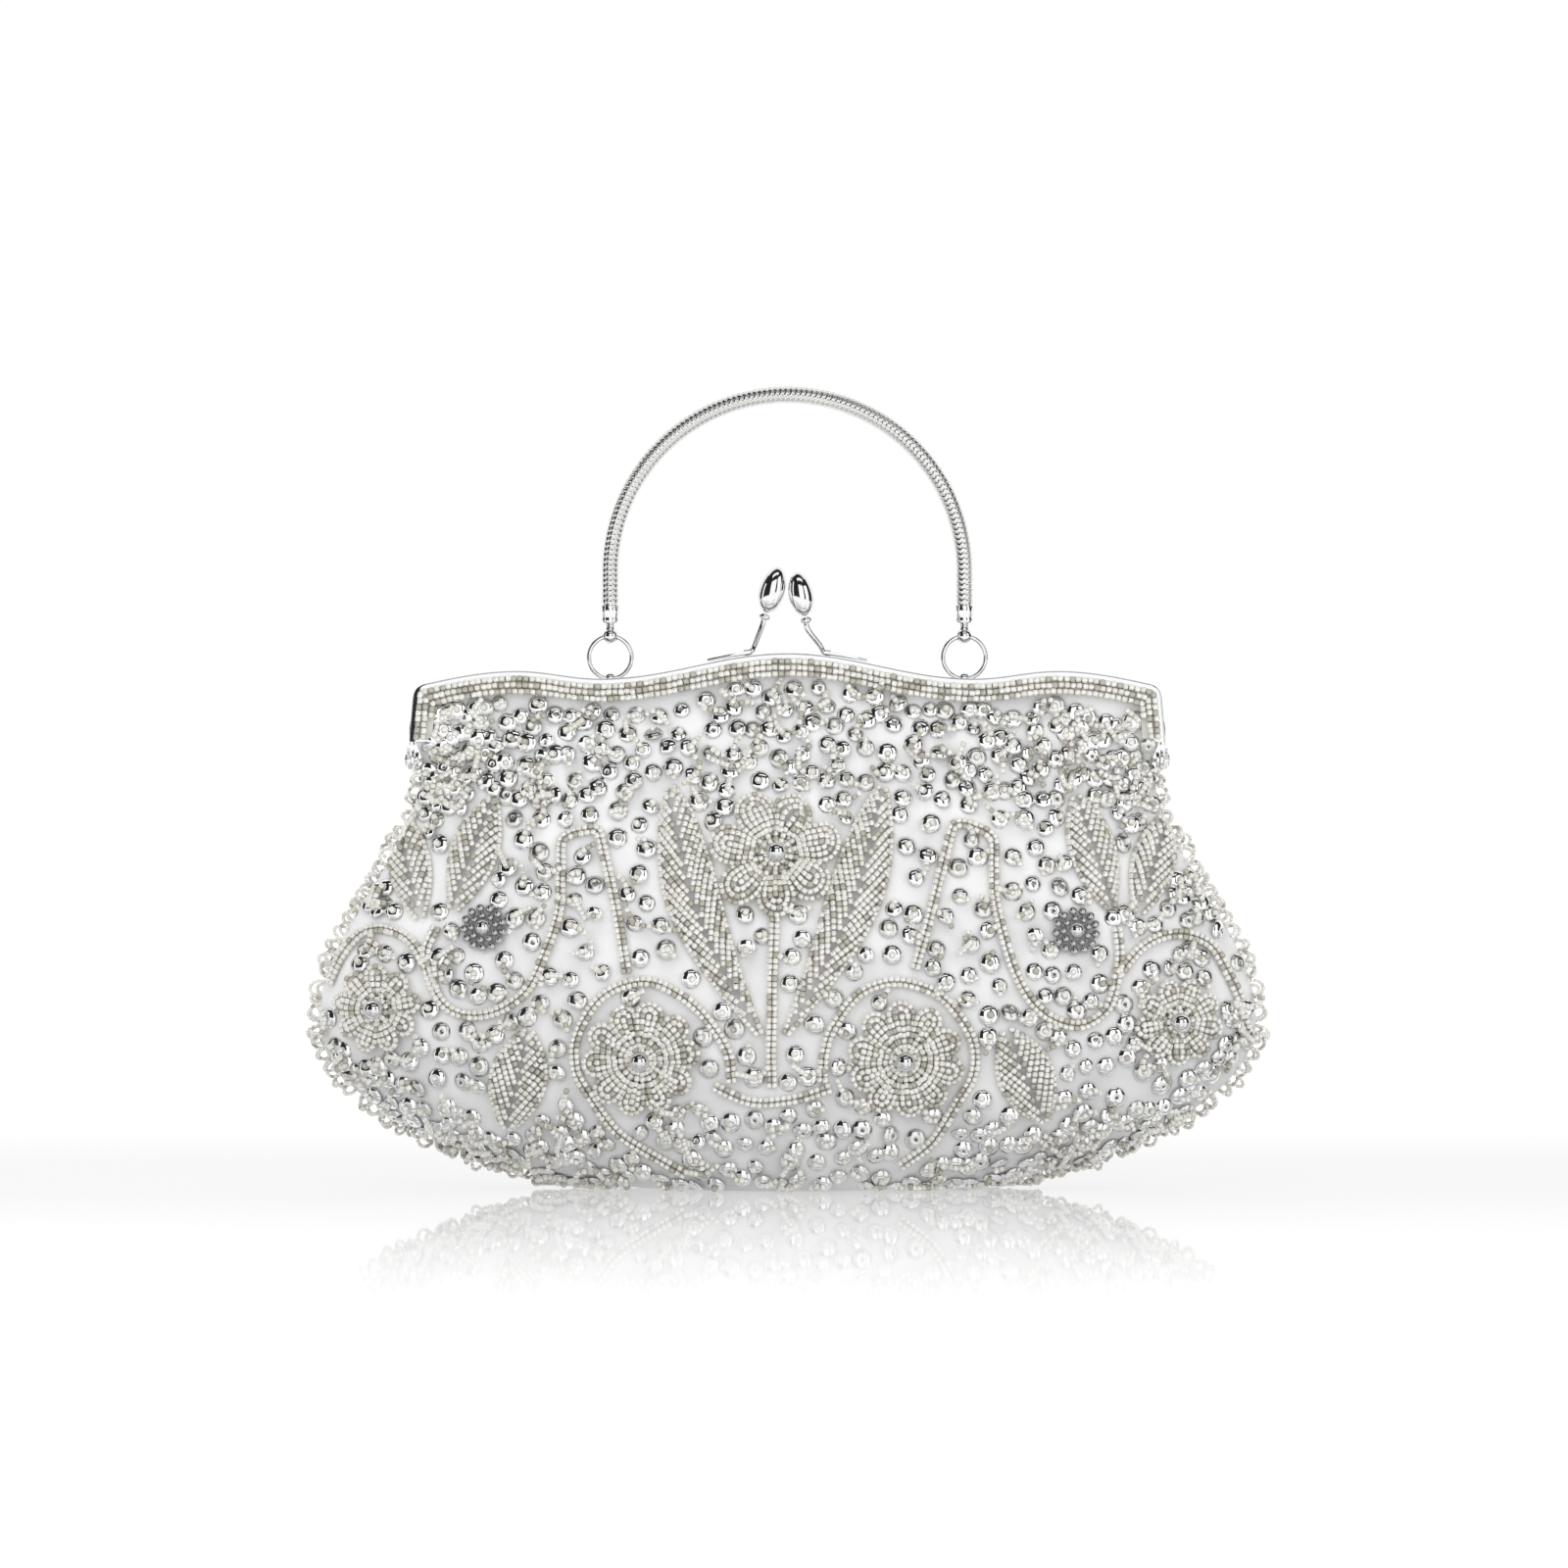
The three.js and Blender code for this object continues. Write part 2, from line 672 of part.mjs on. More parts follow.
function pouchShell(offset, thickness, topShift = 0) {
  return halfLens(offset, 0, topShift).subtract(halfLens(offset + thickness, 1, 1));
}

// Upper strip of a cloth layer, from the throat up into the groove of the front half
function throatStrip(offset, thickness, groove, bottom) {
  const columns = 2 * Math.ceil(rimHalfWidth / columnSpacing);
  const rows = [0, 0.12, 0.3, 0.55, 1]; // shares of the height up to where the cloth lies flat
  const slantTop = armEnd - 0.5;
  const sideX = (height) => {
    const share = (height - throatHeight) / (slantTop - throatHeight);
    const slanted = THREE.MathUtils.lerp(throatHalfWidth - offset, armX(slantTop) - edgeInset, share);
    return Math.min(Math.max(slanted, throatHalfWidth - offset), armX(height) - edgeInset);
  };
  const flatEdge = (x) => rimHeight(x) - channelDepth - flatBelowChannel;
  const gridRow = (heightAt) => {
    const row = [];
    for (let i = 0; i <= columns; i += 1) {
      const across = Math.sin(Math.PI * (i / columns - 0.5));
      const height = heightAt(across * cornerX(edgeInset));
      row.push([across * sideX(height), height]);
    }
    return row;
  };
  const grid = rows.map((share) => gridRow((x) => THREE.MathUtils.lerp(bottom, flatEdge(x), share)));
  grid.push(gridRow((x) => rimPoint(x, edgeInset).y));
  const depth = (x, height) => {
    const inChannel = smooth((Math.abs(x) - rimHalfWidth + cornerZone) / cornerBlend);
    const flatFrom = THREE.MathUtils.lerp(flatEdge(x), slantTop, inChannel);
    const share = smooth((flatFrom - height) / (flatFrom - throatHeight));
    return THREE.MathUtils.lerp(groove, pouchDepth(x, throatHeight, offset + thickness), share);
  };
  return plate(grid, depth, thickness);
}

// The front half swings out with the frame above the throat, so its layers are made in two pieces;
// the rear layers are each one piece
const stripBottom = throatHeight + fit;
const lapBottom = throatHeight - lapDepth;
const rearPanelStrip = throatStrip(0, panelEdgeThickness, panelInGroove, lapBottom);
const rearLiningStrip = throatStrip(liningOffset, liningThickness, liningInGroove, lapBottom);
const padding = pouchShell(paddingOffset, paddingThickness, -lapDepth - 2 * fit);
const frontPanel = pouchShell(0, panelThickness);
const frontLining = pouchShell(liningOffset, liningThickness);

add('front_panel', geometryOf(frontPanel), satin);
add('front_panel_top', throatStrip(0, panelEdgeThickness, panelInGroove, stripBottom), satin);
add('rear_panel', toRear(geometryOf(frontPanel.add(solid(rearPanelStrip)))), satin);
add('front_padding', geometryOf(padding), wadding);
add('rear_padding', toRear(geometryOf(padding)), wadding);
add('front_lining', geometryOf(frontLining), liningCloth);
add(
  'front_lining_top',
  throatStrip(liningOffset, liningThickness, liningInGroove, stripBottom),
  liningCloth,
);
add('rear_lining', toRear(geometryOf(frontLining.add(solid(rearLiningStrip)))), liningCloth);

function slipPocket() {
  const offset = liningOffset + liningThickness + pocketStandOff + pocketThickness;
  const grid = [];
  for (let row = 0; row <= 4; row += 1) {
    const height = THREE.MathUtils.lerp(pocketBottom, pocketTop, row / 4);
    const line = [];
    for (let i = 0; i <= 6; i += 1) {
      line.push([pocketHalfWidth * (i / 3 - 1), height]);
    }
    grid.push(line);
  }
  return plate(grid, (x, height) => pouchDepth(x, height, offset), pocketThickness);
}
add('slip_pocket', toRear(slipPocket()), liningCloth);

// ---------------------------------------------------------------- bead motifs

// A patch of beads on the front panel between two points, with the given half-width along its length
function beadPatch(from, to, patchHalfWidth, rows, columns) {
  const start = new THREE.Vector2(...from);
  const end = new THREE.Vector2(...to);
  const across = end.clone().sub(start).normalize();
  const grid = [];
  for (let row = 0; row <= rows; row += 1) {
    const share = row / rows;
    const middle = start.clone().lerp(end, share);
    const reach = patchHalfWidth(share);
    const line = [];
    for (let i = 0; i <= columns; i += 1) {
      const side = reach * ((2 * i) / columns - 1);
      line.push([middle.x + side * across.y, middle.y - side * across.x]);
    }
    grid.push(line);
  }
  return plate(grid, (x, height) => pouchDepth(x, height) + motifLift, motifThickness);
}

function flowerPatch({ x, height, radius }) {
  const chord = (share) => radius * Math.max(Math.sqrt(1 - (2 * share - 1) ** 2), 0.25);
  return beadPatch([x, height - radius], [x, height + radius], chord, 6, 4);
}

function leafPatch({ base, tip, halfWidth: widest }) {
  const leaf = (share) => Math.max(widest * Math.sin(Math.PI * share ** 0.85), 0.08 * widest);
  return beadPatch(base, tip, leaf, 6, 2);
}

// Turns a piece made about Z to stand out of the front panel at a place
function onPanel(geometry, x, height, lift) {
  const step = 0.5;
  const slopeX = (pouchDepth(x + step, height) - pouchDepth(x - step, height)) / (2 * step);
  const slopeZ = (pouchDepth(x, height + step) - pouchDepth(x, height - step)) / (2 * step);
  const normal = new THREE.Vector3(-slopeX, -1, -slopeZ).normalize();
  const turn = new THREE.Quaternion().setFromUnitVectors(new THREE.Vector3(0, 0, 1), normal);
  const place = new THREE.Vector3(x, -pouchDepth(x, height), height).addScaledVector(normal, lift);
  return geometry.applyQuaternion(turn).translate(place.x, place.y, place.z);
}

function rosette() {
  const middle = rosetteRadius - 2 * rosetteBallRadius;
  const ringTop = 2 * rosetteBallRadius;
  const profile = [
    [0, 0],
    [rosetteRadius - 0.5, 0],
    [rosetteRadius, rosetteBallRadius],
    [rosetteRadius - rosetteBallRadius, ringTop],
    [middle, rosetteBallRadius],
    [0.45 * middle, 1.5 * ringTop],
    [0, 1.7 * ringTop],
  ];
  return turned(profile, 12);
}

for (const [name, flower] of Object.entries(flowers)) {
  add(`flower_${name}`, flowerPatch(flower), beads);
  const lift = motifLift + motifThickness + fit + domeRadius;
  const dome = new THREE.SphereGeometry(domeRadius, 8, 6);
  add(`flower_${name}_bead`, onPanel(dome, flower.x, flower.height, lift), nickel);
}
for (const [name, { x, height }] of Object.entries(rosettes)) {
  add(`rosette_${name}`, onPanel(rosette(), x, height, motifLift + fit), nickel);
}
for (const [name, leaf] of Object.entries(leaves)) {
  add(`leaf_${name}`, leafPatch(leaf), beads);
}

export default bag;
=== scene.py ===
import bpy
import math
import numpy as np
from mathutils import Matrix, Vector


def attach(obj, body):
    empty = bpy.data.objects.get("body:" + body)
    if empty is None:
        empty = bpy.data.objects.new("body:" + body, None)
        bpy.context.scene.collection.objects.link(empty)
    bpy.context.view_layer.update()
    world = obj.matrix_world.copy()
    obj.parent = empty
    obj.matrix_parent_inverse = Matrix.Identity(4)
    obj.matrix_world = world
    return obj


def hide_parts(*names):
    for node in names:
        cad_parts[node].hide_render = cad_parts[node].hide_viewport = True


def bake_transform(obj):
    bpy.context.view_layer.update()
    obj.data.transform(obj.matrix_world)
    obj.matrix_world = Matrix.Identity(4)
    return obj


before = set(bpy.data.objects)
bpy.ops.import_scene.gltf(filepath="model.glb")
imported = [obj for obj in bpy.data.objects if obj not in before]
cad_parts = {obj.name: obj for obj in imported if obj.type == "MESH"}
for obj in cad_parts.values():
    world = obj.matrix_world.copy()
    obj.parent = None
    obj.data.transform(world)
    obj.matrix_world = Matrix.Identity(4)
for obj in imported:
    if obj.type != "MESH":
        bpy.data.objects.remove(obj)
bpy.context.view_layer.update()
rng = np.random.default_rng(23)

# Sizes in millimetres, drawn about the middle plane of the pouch, which stands MID behind the origin
MM = 0.001
MID = 3.1

# Rim of the frame: a wave with a crown, a dip for each handle ring and a shoulder
RIM_END = 112.0
CROWN, DIP, SHOULDER = 160.6, 153.0, 155.3
DIP_AT, SHOULDER_AT = 56.0, 81.0
END_FALL, END_PERIOD = 7.9, 56.0
RIM_RADIUS = 3.5
ARM_LEAN = 2.0
ARM_END = 134.0
HINGE = 128.5
CHANNEL = 6.3

# Cloth in the frame: distance of the satin's face from the middle plane, and of its edge from the rim
GROOVE = 4.8
EDGE_INSET = 2.2
FLAT_BELOW_RIM = 8.3
SLANT_TOP = 133.5
CORNER_FROM, CORNER_BLEND = 89.6, 14.6

# Pouch: half-width and half-depth at the base, at the belly and at the throat below the frame
BELLY, THROAT = 50.0, 128.8
BASE_HALF, BELLY_HALF, THROAT_HALF = (44.0, 15.0), (141.0, 28.0), (109.75, 11.5)
BASE_ROUND = 0.65
LENS = 0.625
SEAM = 0.3

# Handle: half its span, its plane, its rings' radius, and the heights of eye, ferrule, chain and arch
SPAN = 53.5
LUG_Y = 8.1
RING = 6.45
EYE_Z, FERRULE_Z, CHAIN_Z, ARCH_Z = 165.9, 169.8, 175.1, 185.3

# --- materials


def material(name, base, rough, metal=0.0, **extra):
    m = bpy.data.materials.new(name)
    m.use_nodes = True
    s = m.node_tree.nodes["Principled BSDF"]
    s.inputs["Base Color"].default_value = (*base, 1)
    s.inputs["Roughness"].default_value = rough
    s.inputs["Metallic"].default_value = metal
    for key, value in extra.items():
        s.inputs[key.replace("_", " ")].default_value = value
    return m


def node(m, kind, **values):
    n = m.node_tree.nodes.new(kind)
    for key, value in values.items():
        if key.replace("_", " ") in n.inputs:
            n.inputs[key.replace("_", " ")].default_value = value
        else:
            setattr(n, key, value)
    return n


def wire(m, a, out, b, into):
    m.node_tree.links.new(a.outputs[out], b.inputs[into])


def noise(m, scale, detail, stretch=(1.0, 1.0, 1.0)):
    at = node(m, "ShaderNodeTexCoord")
    bend = node(m, "ShaderNodeMapping", Scale=stretch)
    n = node(m, "ShaderNodeTexNoise", Scale=scale, Detail=detail)
    wire(m, at, "Object", bend, "Vector")
    wire(m, bend, "Vector", n, "Vector")
    return n


def roughened(m, source, low, high):
    r = node(m, "ShaderNodeMapRange", From_Min=0.3, From_Max=0.7, To_Min=low, To_Max=high)
    wire(m, source, "Fac", r, "Value")
    wire(m, r, "Result", m.node_tree.nodes["Principled BSDF"], "Roughness")


def bump(m, source, strength):
    b = node(m, "ShaderNodeBump", Strength=strength, Distance=0.0002)
    wire(m, source, "Fac", b, "Height")
    wire(m, b, "Normal", m.node_tree.nodes["Principled BSDF"], "Normal")


def tinted(m, source, dark, light):
    ramp = node(m, "ShaderNodeValToRGB")
    for stop, place, colour in zip(ramp.color_ramp.elements, (0.35, 0.65), (dark, light)):
        stop.position = place
        stop.color = (*colour, 1)
    wire(m, source, "Fac", ramp, "Fac")
    wire(m, ramp, "Color", m.node_tree.nodes["Principled BSDF"], "Base Color")


def nickel_finish(name, base, rough):
    m = material(name, base, rough, 1.0)
    roughened(m, noise(m, 700, 4.0), rough * 0.7, rough * 1.6)
    return m


def woven(name, dark, light, rough, weave, folds):
    m = material(name, light, rough, Sheen_Weight=0.25)
    tinted(m, noise(m, 60, 3.0), dark, light)
    bump(m, noise(m, 1500, 2.0, stretch=(1.0, 1.0, 0.22)), weave)
    roughened(m, noise(m, 240, 2.0), rough - folds, rough + folds)
    return m


nickel = nickel_finish("polished_nickel", (0.86, 0.86, 0.87), 0.07)
steel = nickel_finish("chain_steel", (0.82, 0.82, 0.80), 0.16)
satin = woven("ivory_satin", (0.74, 0.74, 0.75), (0.85, 0.85, 0.855), 0.36, 0.25, 0.06)
lining = woven("grey_lining", (0.36, 0.37, 0.42), (0.46, 0.47, 0.52), 0.42, 0.35, 0.08)
wadding = woven("cotton_wadding", (0.78, 0.77, 0.74), (0.9, 0.89, 0.86), 0.9, 0.8, 0.04)
paper = woven("paper_cord", (0.55, 0.47, 0.33), (0.68, 0.6, 0.44), 0.85, 0.7, 0.05)
tape = woven("trim_tape", (0.55, 0.54, 0.50), (0.66, 0.65, 0.60), 0.6, 0.4, 0.05)
# Silver-lined seed beads in tones from the brightest to the deepest, mixed at random; the deepest is painted
# shade, used more where beads lie in shade
BEADS = [
    material("bead_" + name, base, rough, metal, Coat_Weight=coat, Coat_Roughness=polish)
    for name, base, rough, metal, coat, polish in (
        ("bright", (0.97, 0.96, 0.93), 0.14, 0.5, 0.7, 0.03),
        ("clear", (0.93, 0.92, 0.87), 0.18, 0.35, 0.8, 0.03),
        ("ivory", (0.82, 0.80, 0.73), 0.22, 0.3, 0.8, 0.04),
        ("painted_shade", (0.52, 0.50, 0.43), 0.22, 0.35, 0.8, 0.04),
    )
]
BEAD_ODDS = [0.28, 0.34, 0.24, 0.14]
SEQUINS = [
    material("sequin_mirror", (0.95, 0.95, 0.95), 0.06, 1.0),
    material("sequin_bright", (0.90, 0.90, 0.89), 0.14, 1.0),
    material("sequin_soft", (0.84, 0.84, 0.82), 0.24, 1.0),
]
SEQUIN_ODDS = [0.45, 0.35, 0.2]
BALLS = [
    material("silver_ball", (0.80, 0.80, 0.81), 0.05, 1.0),
    # the second silver is darkened, painted shade for the rosettes' rings of small balls
    material("painted_shade_silver_ball", (0.60, 0.60, 0.60), 0.07, 1.0),
]

# --- mesh helpers

NO_TRIS = np.zeros((0, 3), int)


def build(name, part, mats, rear=False, quad_mats=None, tri_mats=None, sharp=None):
    """A smooth-shaded mesh from millimetre points about the middle plane; rear turns it half round."""
    v, quads, tris = part
    quads, tris = quads.astype(np.int32), tris.astype(np.int32)
    v = v * np.array([-1.0, -1.0, 1.0]) if rear else v
    v = (v + np.array([0, MID, 0])) * MM
    me = bpy.data.meshes.new(name)
    me.vertices.add(len(v))
    me.vertices.foreach_set("co", v.astype(np.float32).ravel())
    loops = np.concatenate([quads.ravel(), tris.ravel()])
    me.loops.add(len(loops))
    me.loops.foreach_set("vertex_index", loops)
    starts = np.concatenate([np.arange(len(quads)) * 4, len(quads) * 4 + np.arange(len(tris)) * 3])
    me.polygons.add(len(starts))
    me.polygons.foreach_set("loop_start", starts.astype(np.int32))
    for m in mats:
        me.materials.append(m)
    if quad_mats is not None:
        me.polygons.foreach_set("material_index", np.concatenate([quad_mats, tri_mats]).astype(np.int32))
    me.update(calc_edges=True)
    me.validate()
    me.shade_smooth()
    if sharp:
        me.set_sharp_from_angle(angle=math.radians(sharp))
    o = bpy.data.objects.new(name, me)
    bpy.context.scene.collection.objects.link(o)
    return o


def enter(o, slot, body, *nodes):
    """Hides the CAD nodes a piece stands for and attaches it to its body; a piece of the front cloth, whose
    body is bending, gets its place baked into its mesh instead. The slot is not used.
    """
    if nodes:
        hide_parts(*nodes)
    if body == "bending":
        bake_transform(o)
    else:
        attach(o, body)


def unit(v):
    return v / np.linalg.norm(v, axis=-1, keepdims=True)


def ring_quads(rings, count, closed=True):
    """Quads between neighbouring rings of count points."""
    i = np.arange(count if closed else count - 1)
    j = (i + 1) % count
    r = np.arange(rings - 1)[:, None] * count
    return np.stack([r + i, r + j, r + count + j, r + count + i], -1).reshape(-1, 4)


def capped(v, rings, n, first, last):
    """Rings of n points joined into a tube, each end closed by a fan about the point given for it."""
    i = np.arange(n)
    j = (i + 1) % n
    top = (rings - 1) * n
    low = np.stack([j, i, np.full(n, len(v))], -1)
    high = np.stack([top + i, top + j, np.full(n, len(v) + 1)], -1)
    return np.vstack([v, first, last]), ring_quads(rings, n), np.concatenate([low, high])


def turned(profile, n):
    """Points of a profile of (radius, height) turned about Z."""
    a = np.arange(n) * 2 * np.pi / n
    return np.concatenate([np.stack([r * np.cos(a), r * np.sin(a), np.full(n, z)], -1) for r, z in profile])


def lathe(profile, n):
    """A turned solid; the first and last point of its profile lie on the axis."""
    ends = [[0, 0, profile[0][1]], [0, 0, profile[-1][1]]]
    return capped(turned(profile[1:-1], n), len(profile) - 2, n, *ends)


def closed_lathe(profile, n):
    """A turned ring with a closed profile."""
    i = np.arange(n)
    j = (i + 1) % n
    k = (len(profile) - 1) * n
    close = np.stack([k + i, k + j, j, i], -1)
    return turned(profile, n), np.concatenate([ring_quads(len(profile), n), close]), NO_TRIS


def oval(radius, wide, high, n):
    """A closed oval profile about a point at the radius."""
    turns = np.arange(n) * 2 * math.pi / n
    return [(radius + wide * math.cos(b), high * math.sin(b)) for b in turns]


def tube(path, radius, n):
    """A tube round a 3-D path, with closed ends."""
    tangent = unit(np.gradient(path, axis=0))
    side = np.cross(tangent[0], [0.0, 1.0, 0.0])
    a = np.arange(n) * 2 * np.pi / n
    v = []
    for p, t in zip(path, tangent):
        side = unit(side - t * (side @ t))
        up = np.cross(t, side)
        v.append(p + radius * (np.cos(a)[:, None] * side + np.sin(a)[:, None] * up))
    return capped(np.concatenate(v), len(path), n, path[0], path[-1])


def joined(parts):
    """One (verts, quads, tris) from several."""
    v, q, t, at = [], [], [], 0
    for pv, pq, pt in parts:
        v.append(pv)
        q.append(pq + at)
        t.append(pt + at)
        at += len(pv)
    return np.concatenate(v), np.concatenate(q), np.concatenate(t)


def shell(outer, inner):
    """A closed sheet between two grids (rows, columns, 3)."""
    rows, cols = outer.shape[:2]
    count = rows * cols
    v = np.concatenate([outer.reshape(-1, 3), inner.reshape(-1, 3)])
    q = ring_quads(rows, cols, closed=False)
    back = q[:, ::-1] + count
    edge = np.concatenate([
        np.arange(cols - 1),
        np.arange(rows - 1) * cols + cols - 1,
        count - 1 - np.arange(cols - 1),
        (rows - 1 - np.arange(rows - 1)) * cols,
    ])
    after = np.roll(edge, -1)
    sides = np.stack([after, edge, edge + count, after + count], -1)
    return v, np.concatenate([q, back, sides]), NO_TRIS


def turned_to(v, z):
    """Turns points made about Z so that Z goes along the unit vector z."""
    x = unit(np.cross([0.0, 1.0, 0.0], z))
    return v @ np.stack([x, np.cross(z, x), z])


# --- shape of the bag


def swing(a, b, share):
    return a + (b - a) * (1 - np.cos(np.pi * share)) / 2


def smooth(share):
    t = np.clip(share, 0, 1)
    return t * t * (3 - 2 * t)


def rim(x):
    d = np.abs(x)
    fall = swing(SHOULDER, SHOULDER - END_FALL, (d - SHOULDER_AT) / END_PERIOD)
    outer = np.where(d < SHOULDER_AT, swing(DIP, SHOULDER, (d - DIP_AT) / (SHOULDER_AT - DIP_AT)), fall)
    return np.where(d < DIP_AT, swing(CROWN, DIP, d / DIP_AT), outer)


def rim_point(x, inset):
    slope = (rim(x + 0.01) - rim(x - 0.01)) / 0.02
    length = np.hypot(slope, 1)
    return x + inset * slope / length, rim(x) - inset / length


CORNER = float(rim(RIM_END))


def arm_x(z):
    return RIM_END + ARM_LEAN * (CORNER - z) / (CORNER - HINGE)


def outline(inset, end=ARM_END, steps=90):
    """The rim's line from one arm's end to the other, moved in by inset."""
    radius = max(RIM_RADIUS - inset, 0.6)
    x = RIM_END
    for _ in range(12):
        px, pz = rim_point(x, inset)
        x += arm_x(pz) - inset - px
    tx, tz = rim_point((x - radius) * np.linspace(0, 1, steps + 1), inset)
    cx, cz = rim_point(x, inset)
    bz = cz - radius
    bx = arm_x(bz) - inset
    u = np.linspace(0, 1, 9)[1:]
    qx = (1 - u) ** 2 * tx[-1] + 2 * u * (1 - u) * cx + u * u * bx
    qz = (1 - u) ** 2 * tz[-1] + 2 * u * (1 - u) * cz + u * u * bz
    az = np.linspace(bz, end, 5)[1:]
    right = np.stack([np.concatenate([tx, qx, arm_x(az) - inset]), np.concatenate([tz, qz, az])], -1)
    left = right[:0:-1] * np.array([-1, 1])
    return np.concatenate([left, right])


def rounded(z):
    """Share of the way from the base's size to the belly's."""
    return (1 - (1 - np.clip(z, 0, BELLY) / BELLY) ** 2) ** BASE_ROUND


def half_width(z):
    low = BASE_HALF[0] + (BELLY_HALF[0] - BASE_HALF[0]) * rounded(z)
    return np.where(z < BELLY, low, swing(BELLY_HALF[0], THROAT_HALF[0], (z - BELLY) / (THROAT - BELLY)))


def half_depth(z):
    low = BASE_HALF[1] + (BELLY_HALF[1] - BASE_HALF[1]) * rounded(z)
    drawn_in = 1 - np.cos((z - BELLY) / (THROAT - BELLY) * np.pi / 2)
    return np.where(z < BELLY, low, BELLY_HALF[1] - (BELLY_HALF[1] - THROAT_HALF[1]) * drawn_in)


def wrinkle(x, z):
    """Gathers below the frame and shallow dimples where the beadwork pulls the satin in."""
    a = np.clip(np.abs(x) / half_width(np.clip(z, 0, THROAT)), 0, 1)
    quiet = (1 - a ** 6) * smooth(z / 14)
    gather = np.cos(x * 0.62 + 1.7 * np.sin(x * 0.11)) * (0.5 + 0.5 * np.sin(x * 0.173 + 0.6))
    gather = gather * 0.8 * np.exp(-((z - 122) / 17) ** 2)
    dimple = 0.6 * np.sin(x * 0.19 + 0.6 * np.sin(z * 0.13)) * np.sin(z * 0.23 + 0.9 * np.sin(x * 0.09))
    sag = 0.45 * np.sin(x * 0.071 + z * 0.083)
    held = 1 - smooth((z - 136) / 9)
    return (gather + dimple + sag) * quiet * held


def lens(x, z, offset):
    """Distance in front of the middle plane of a layer of the pouch, offset inside the satin's face."""
    a = np.clip(np.abs(x) / (half_width(z) - offset), 0, 1)
    return SEAM + (half_depth(z) - offset) * (1 - a * a) ** LENS


def drawn(x, z, offset, groove):
    """The same, drawn in above the throat until it lies at groove in the frame's channel."""
    d = lens(x, np.clip(z, 0, THROAT), offset)
    flat = rim(x) - FLAT_BELOW_RIM
    flat = flat + (SLANT_TOP - flat) * smooth((np.abs(x) - CORNER_FROM) / CORNER_BLEND)
    share = smooth((flat - z) / (flat - THROAT))
    return np.where(z > THROAT, groove + (d - groove) * share, d)


def depth(x, z):
    """Distance of the satin's face in front of the middle plane."""
    return drawn(x, z, 0.0, GROOVE) + wrinkle(x, z)


def on_skin(x, z, lift=0.0):
    """Points and normals on the front satin, raised by lift."""
    x, z = np.asarray(x, float), np.asarray(z, float)
    h = 0.15
    dx = (depth(x + h, z) - depth(x - h, z)) / (2 * h)
    dz = (depth(x, z + h) - depth(x, z - h)) / (2 * h)
    n = unit(np.stack([-dx, -np.ones_like(dx), -dz], -1))
    p = np.stack([x, -depth(x, z), z], -1)
    return p + n * np.asarray(lift, float).reshape(-1, 1), n


# --- beads and sequins

SIDES = 7


def bead_template():
    """A short rounded tube along X, 1 in radius, with flat ends."""
    profile = [(0.34, -0.78), (0.74, -0.98), (1.0, -0.55), (1.0, 0.55), (0.74, 0.98), (0.34, 0.78)]
    a = np.arange(SIDES) * 2 * np.pi / SIDES
    v = np.concatenate([np.stack([np.full(SIDES, z), r * np.cos(a), r * np.sin(a)], -1) for r, z in profile])
    fan = [(0, k + 1, k) for k in range(1, SIDES - 1)]
    last = (len(profile) - 1) * SIDES
    fan += [(last, last + k, last + k + 1) for k in range(1, SIDES - 1)]
    return v, ring_quads(len(profile), SIDES), np.array(fan)


def sequin_template():
    """A cupped disc with a hole, 1 in radius."""
    face = [(0.13, 0.27), (0.40, 0.27), (0.60, 0.23), (0.80, 0.13), (0.95, 0.0), (1.0, -0.06)]
    v, q, t = closed_lathe(face + [(r, z - 0.05) for r, z in face[::-1]], 14)
    return v, q[:, ::-1], t


def ball_template():
    bands = 9
    angles = [math.pi * k / bands for k in range(1, bands)]
    return lathe([(0, -1)] + [(math.sin(a), -math.cos(a)) for a in angles] + [(0, 1)], 14)


def instances(template, centre, basis, scale):
    """One mesh of many copies: basis holds each copy's three axes as rows."""
    tv, tq, tt = template
    v = np.einsum("vk,nk,nkj->nvj", tv, scale, basis) + centre[:, None, :]
    # whatever would sink into the floor is laid on it
    v[..., 2] += np.maximum(0.05 - v[..., 2].min(1), 0)[:, None]
    at = np.arange(len(centre))[:, None, None] * len(tv)
    return v.reshape(-1, 3), (tq[None] + at).reshape(-1, 4), (tt[None] + at).reshape(-1, 3)


def basis_of(first, normal):
    x = unit(first)
    z = unit(normal - x * np.sum(normal * x, axis=1, keepdims=True))
    return np.stack([x, np.cross(z, x), z], 1)


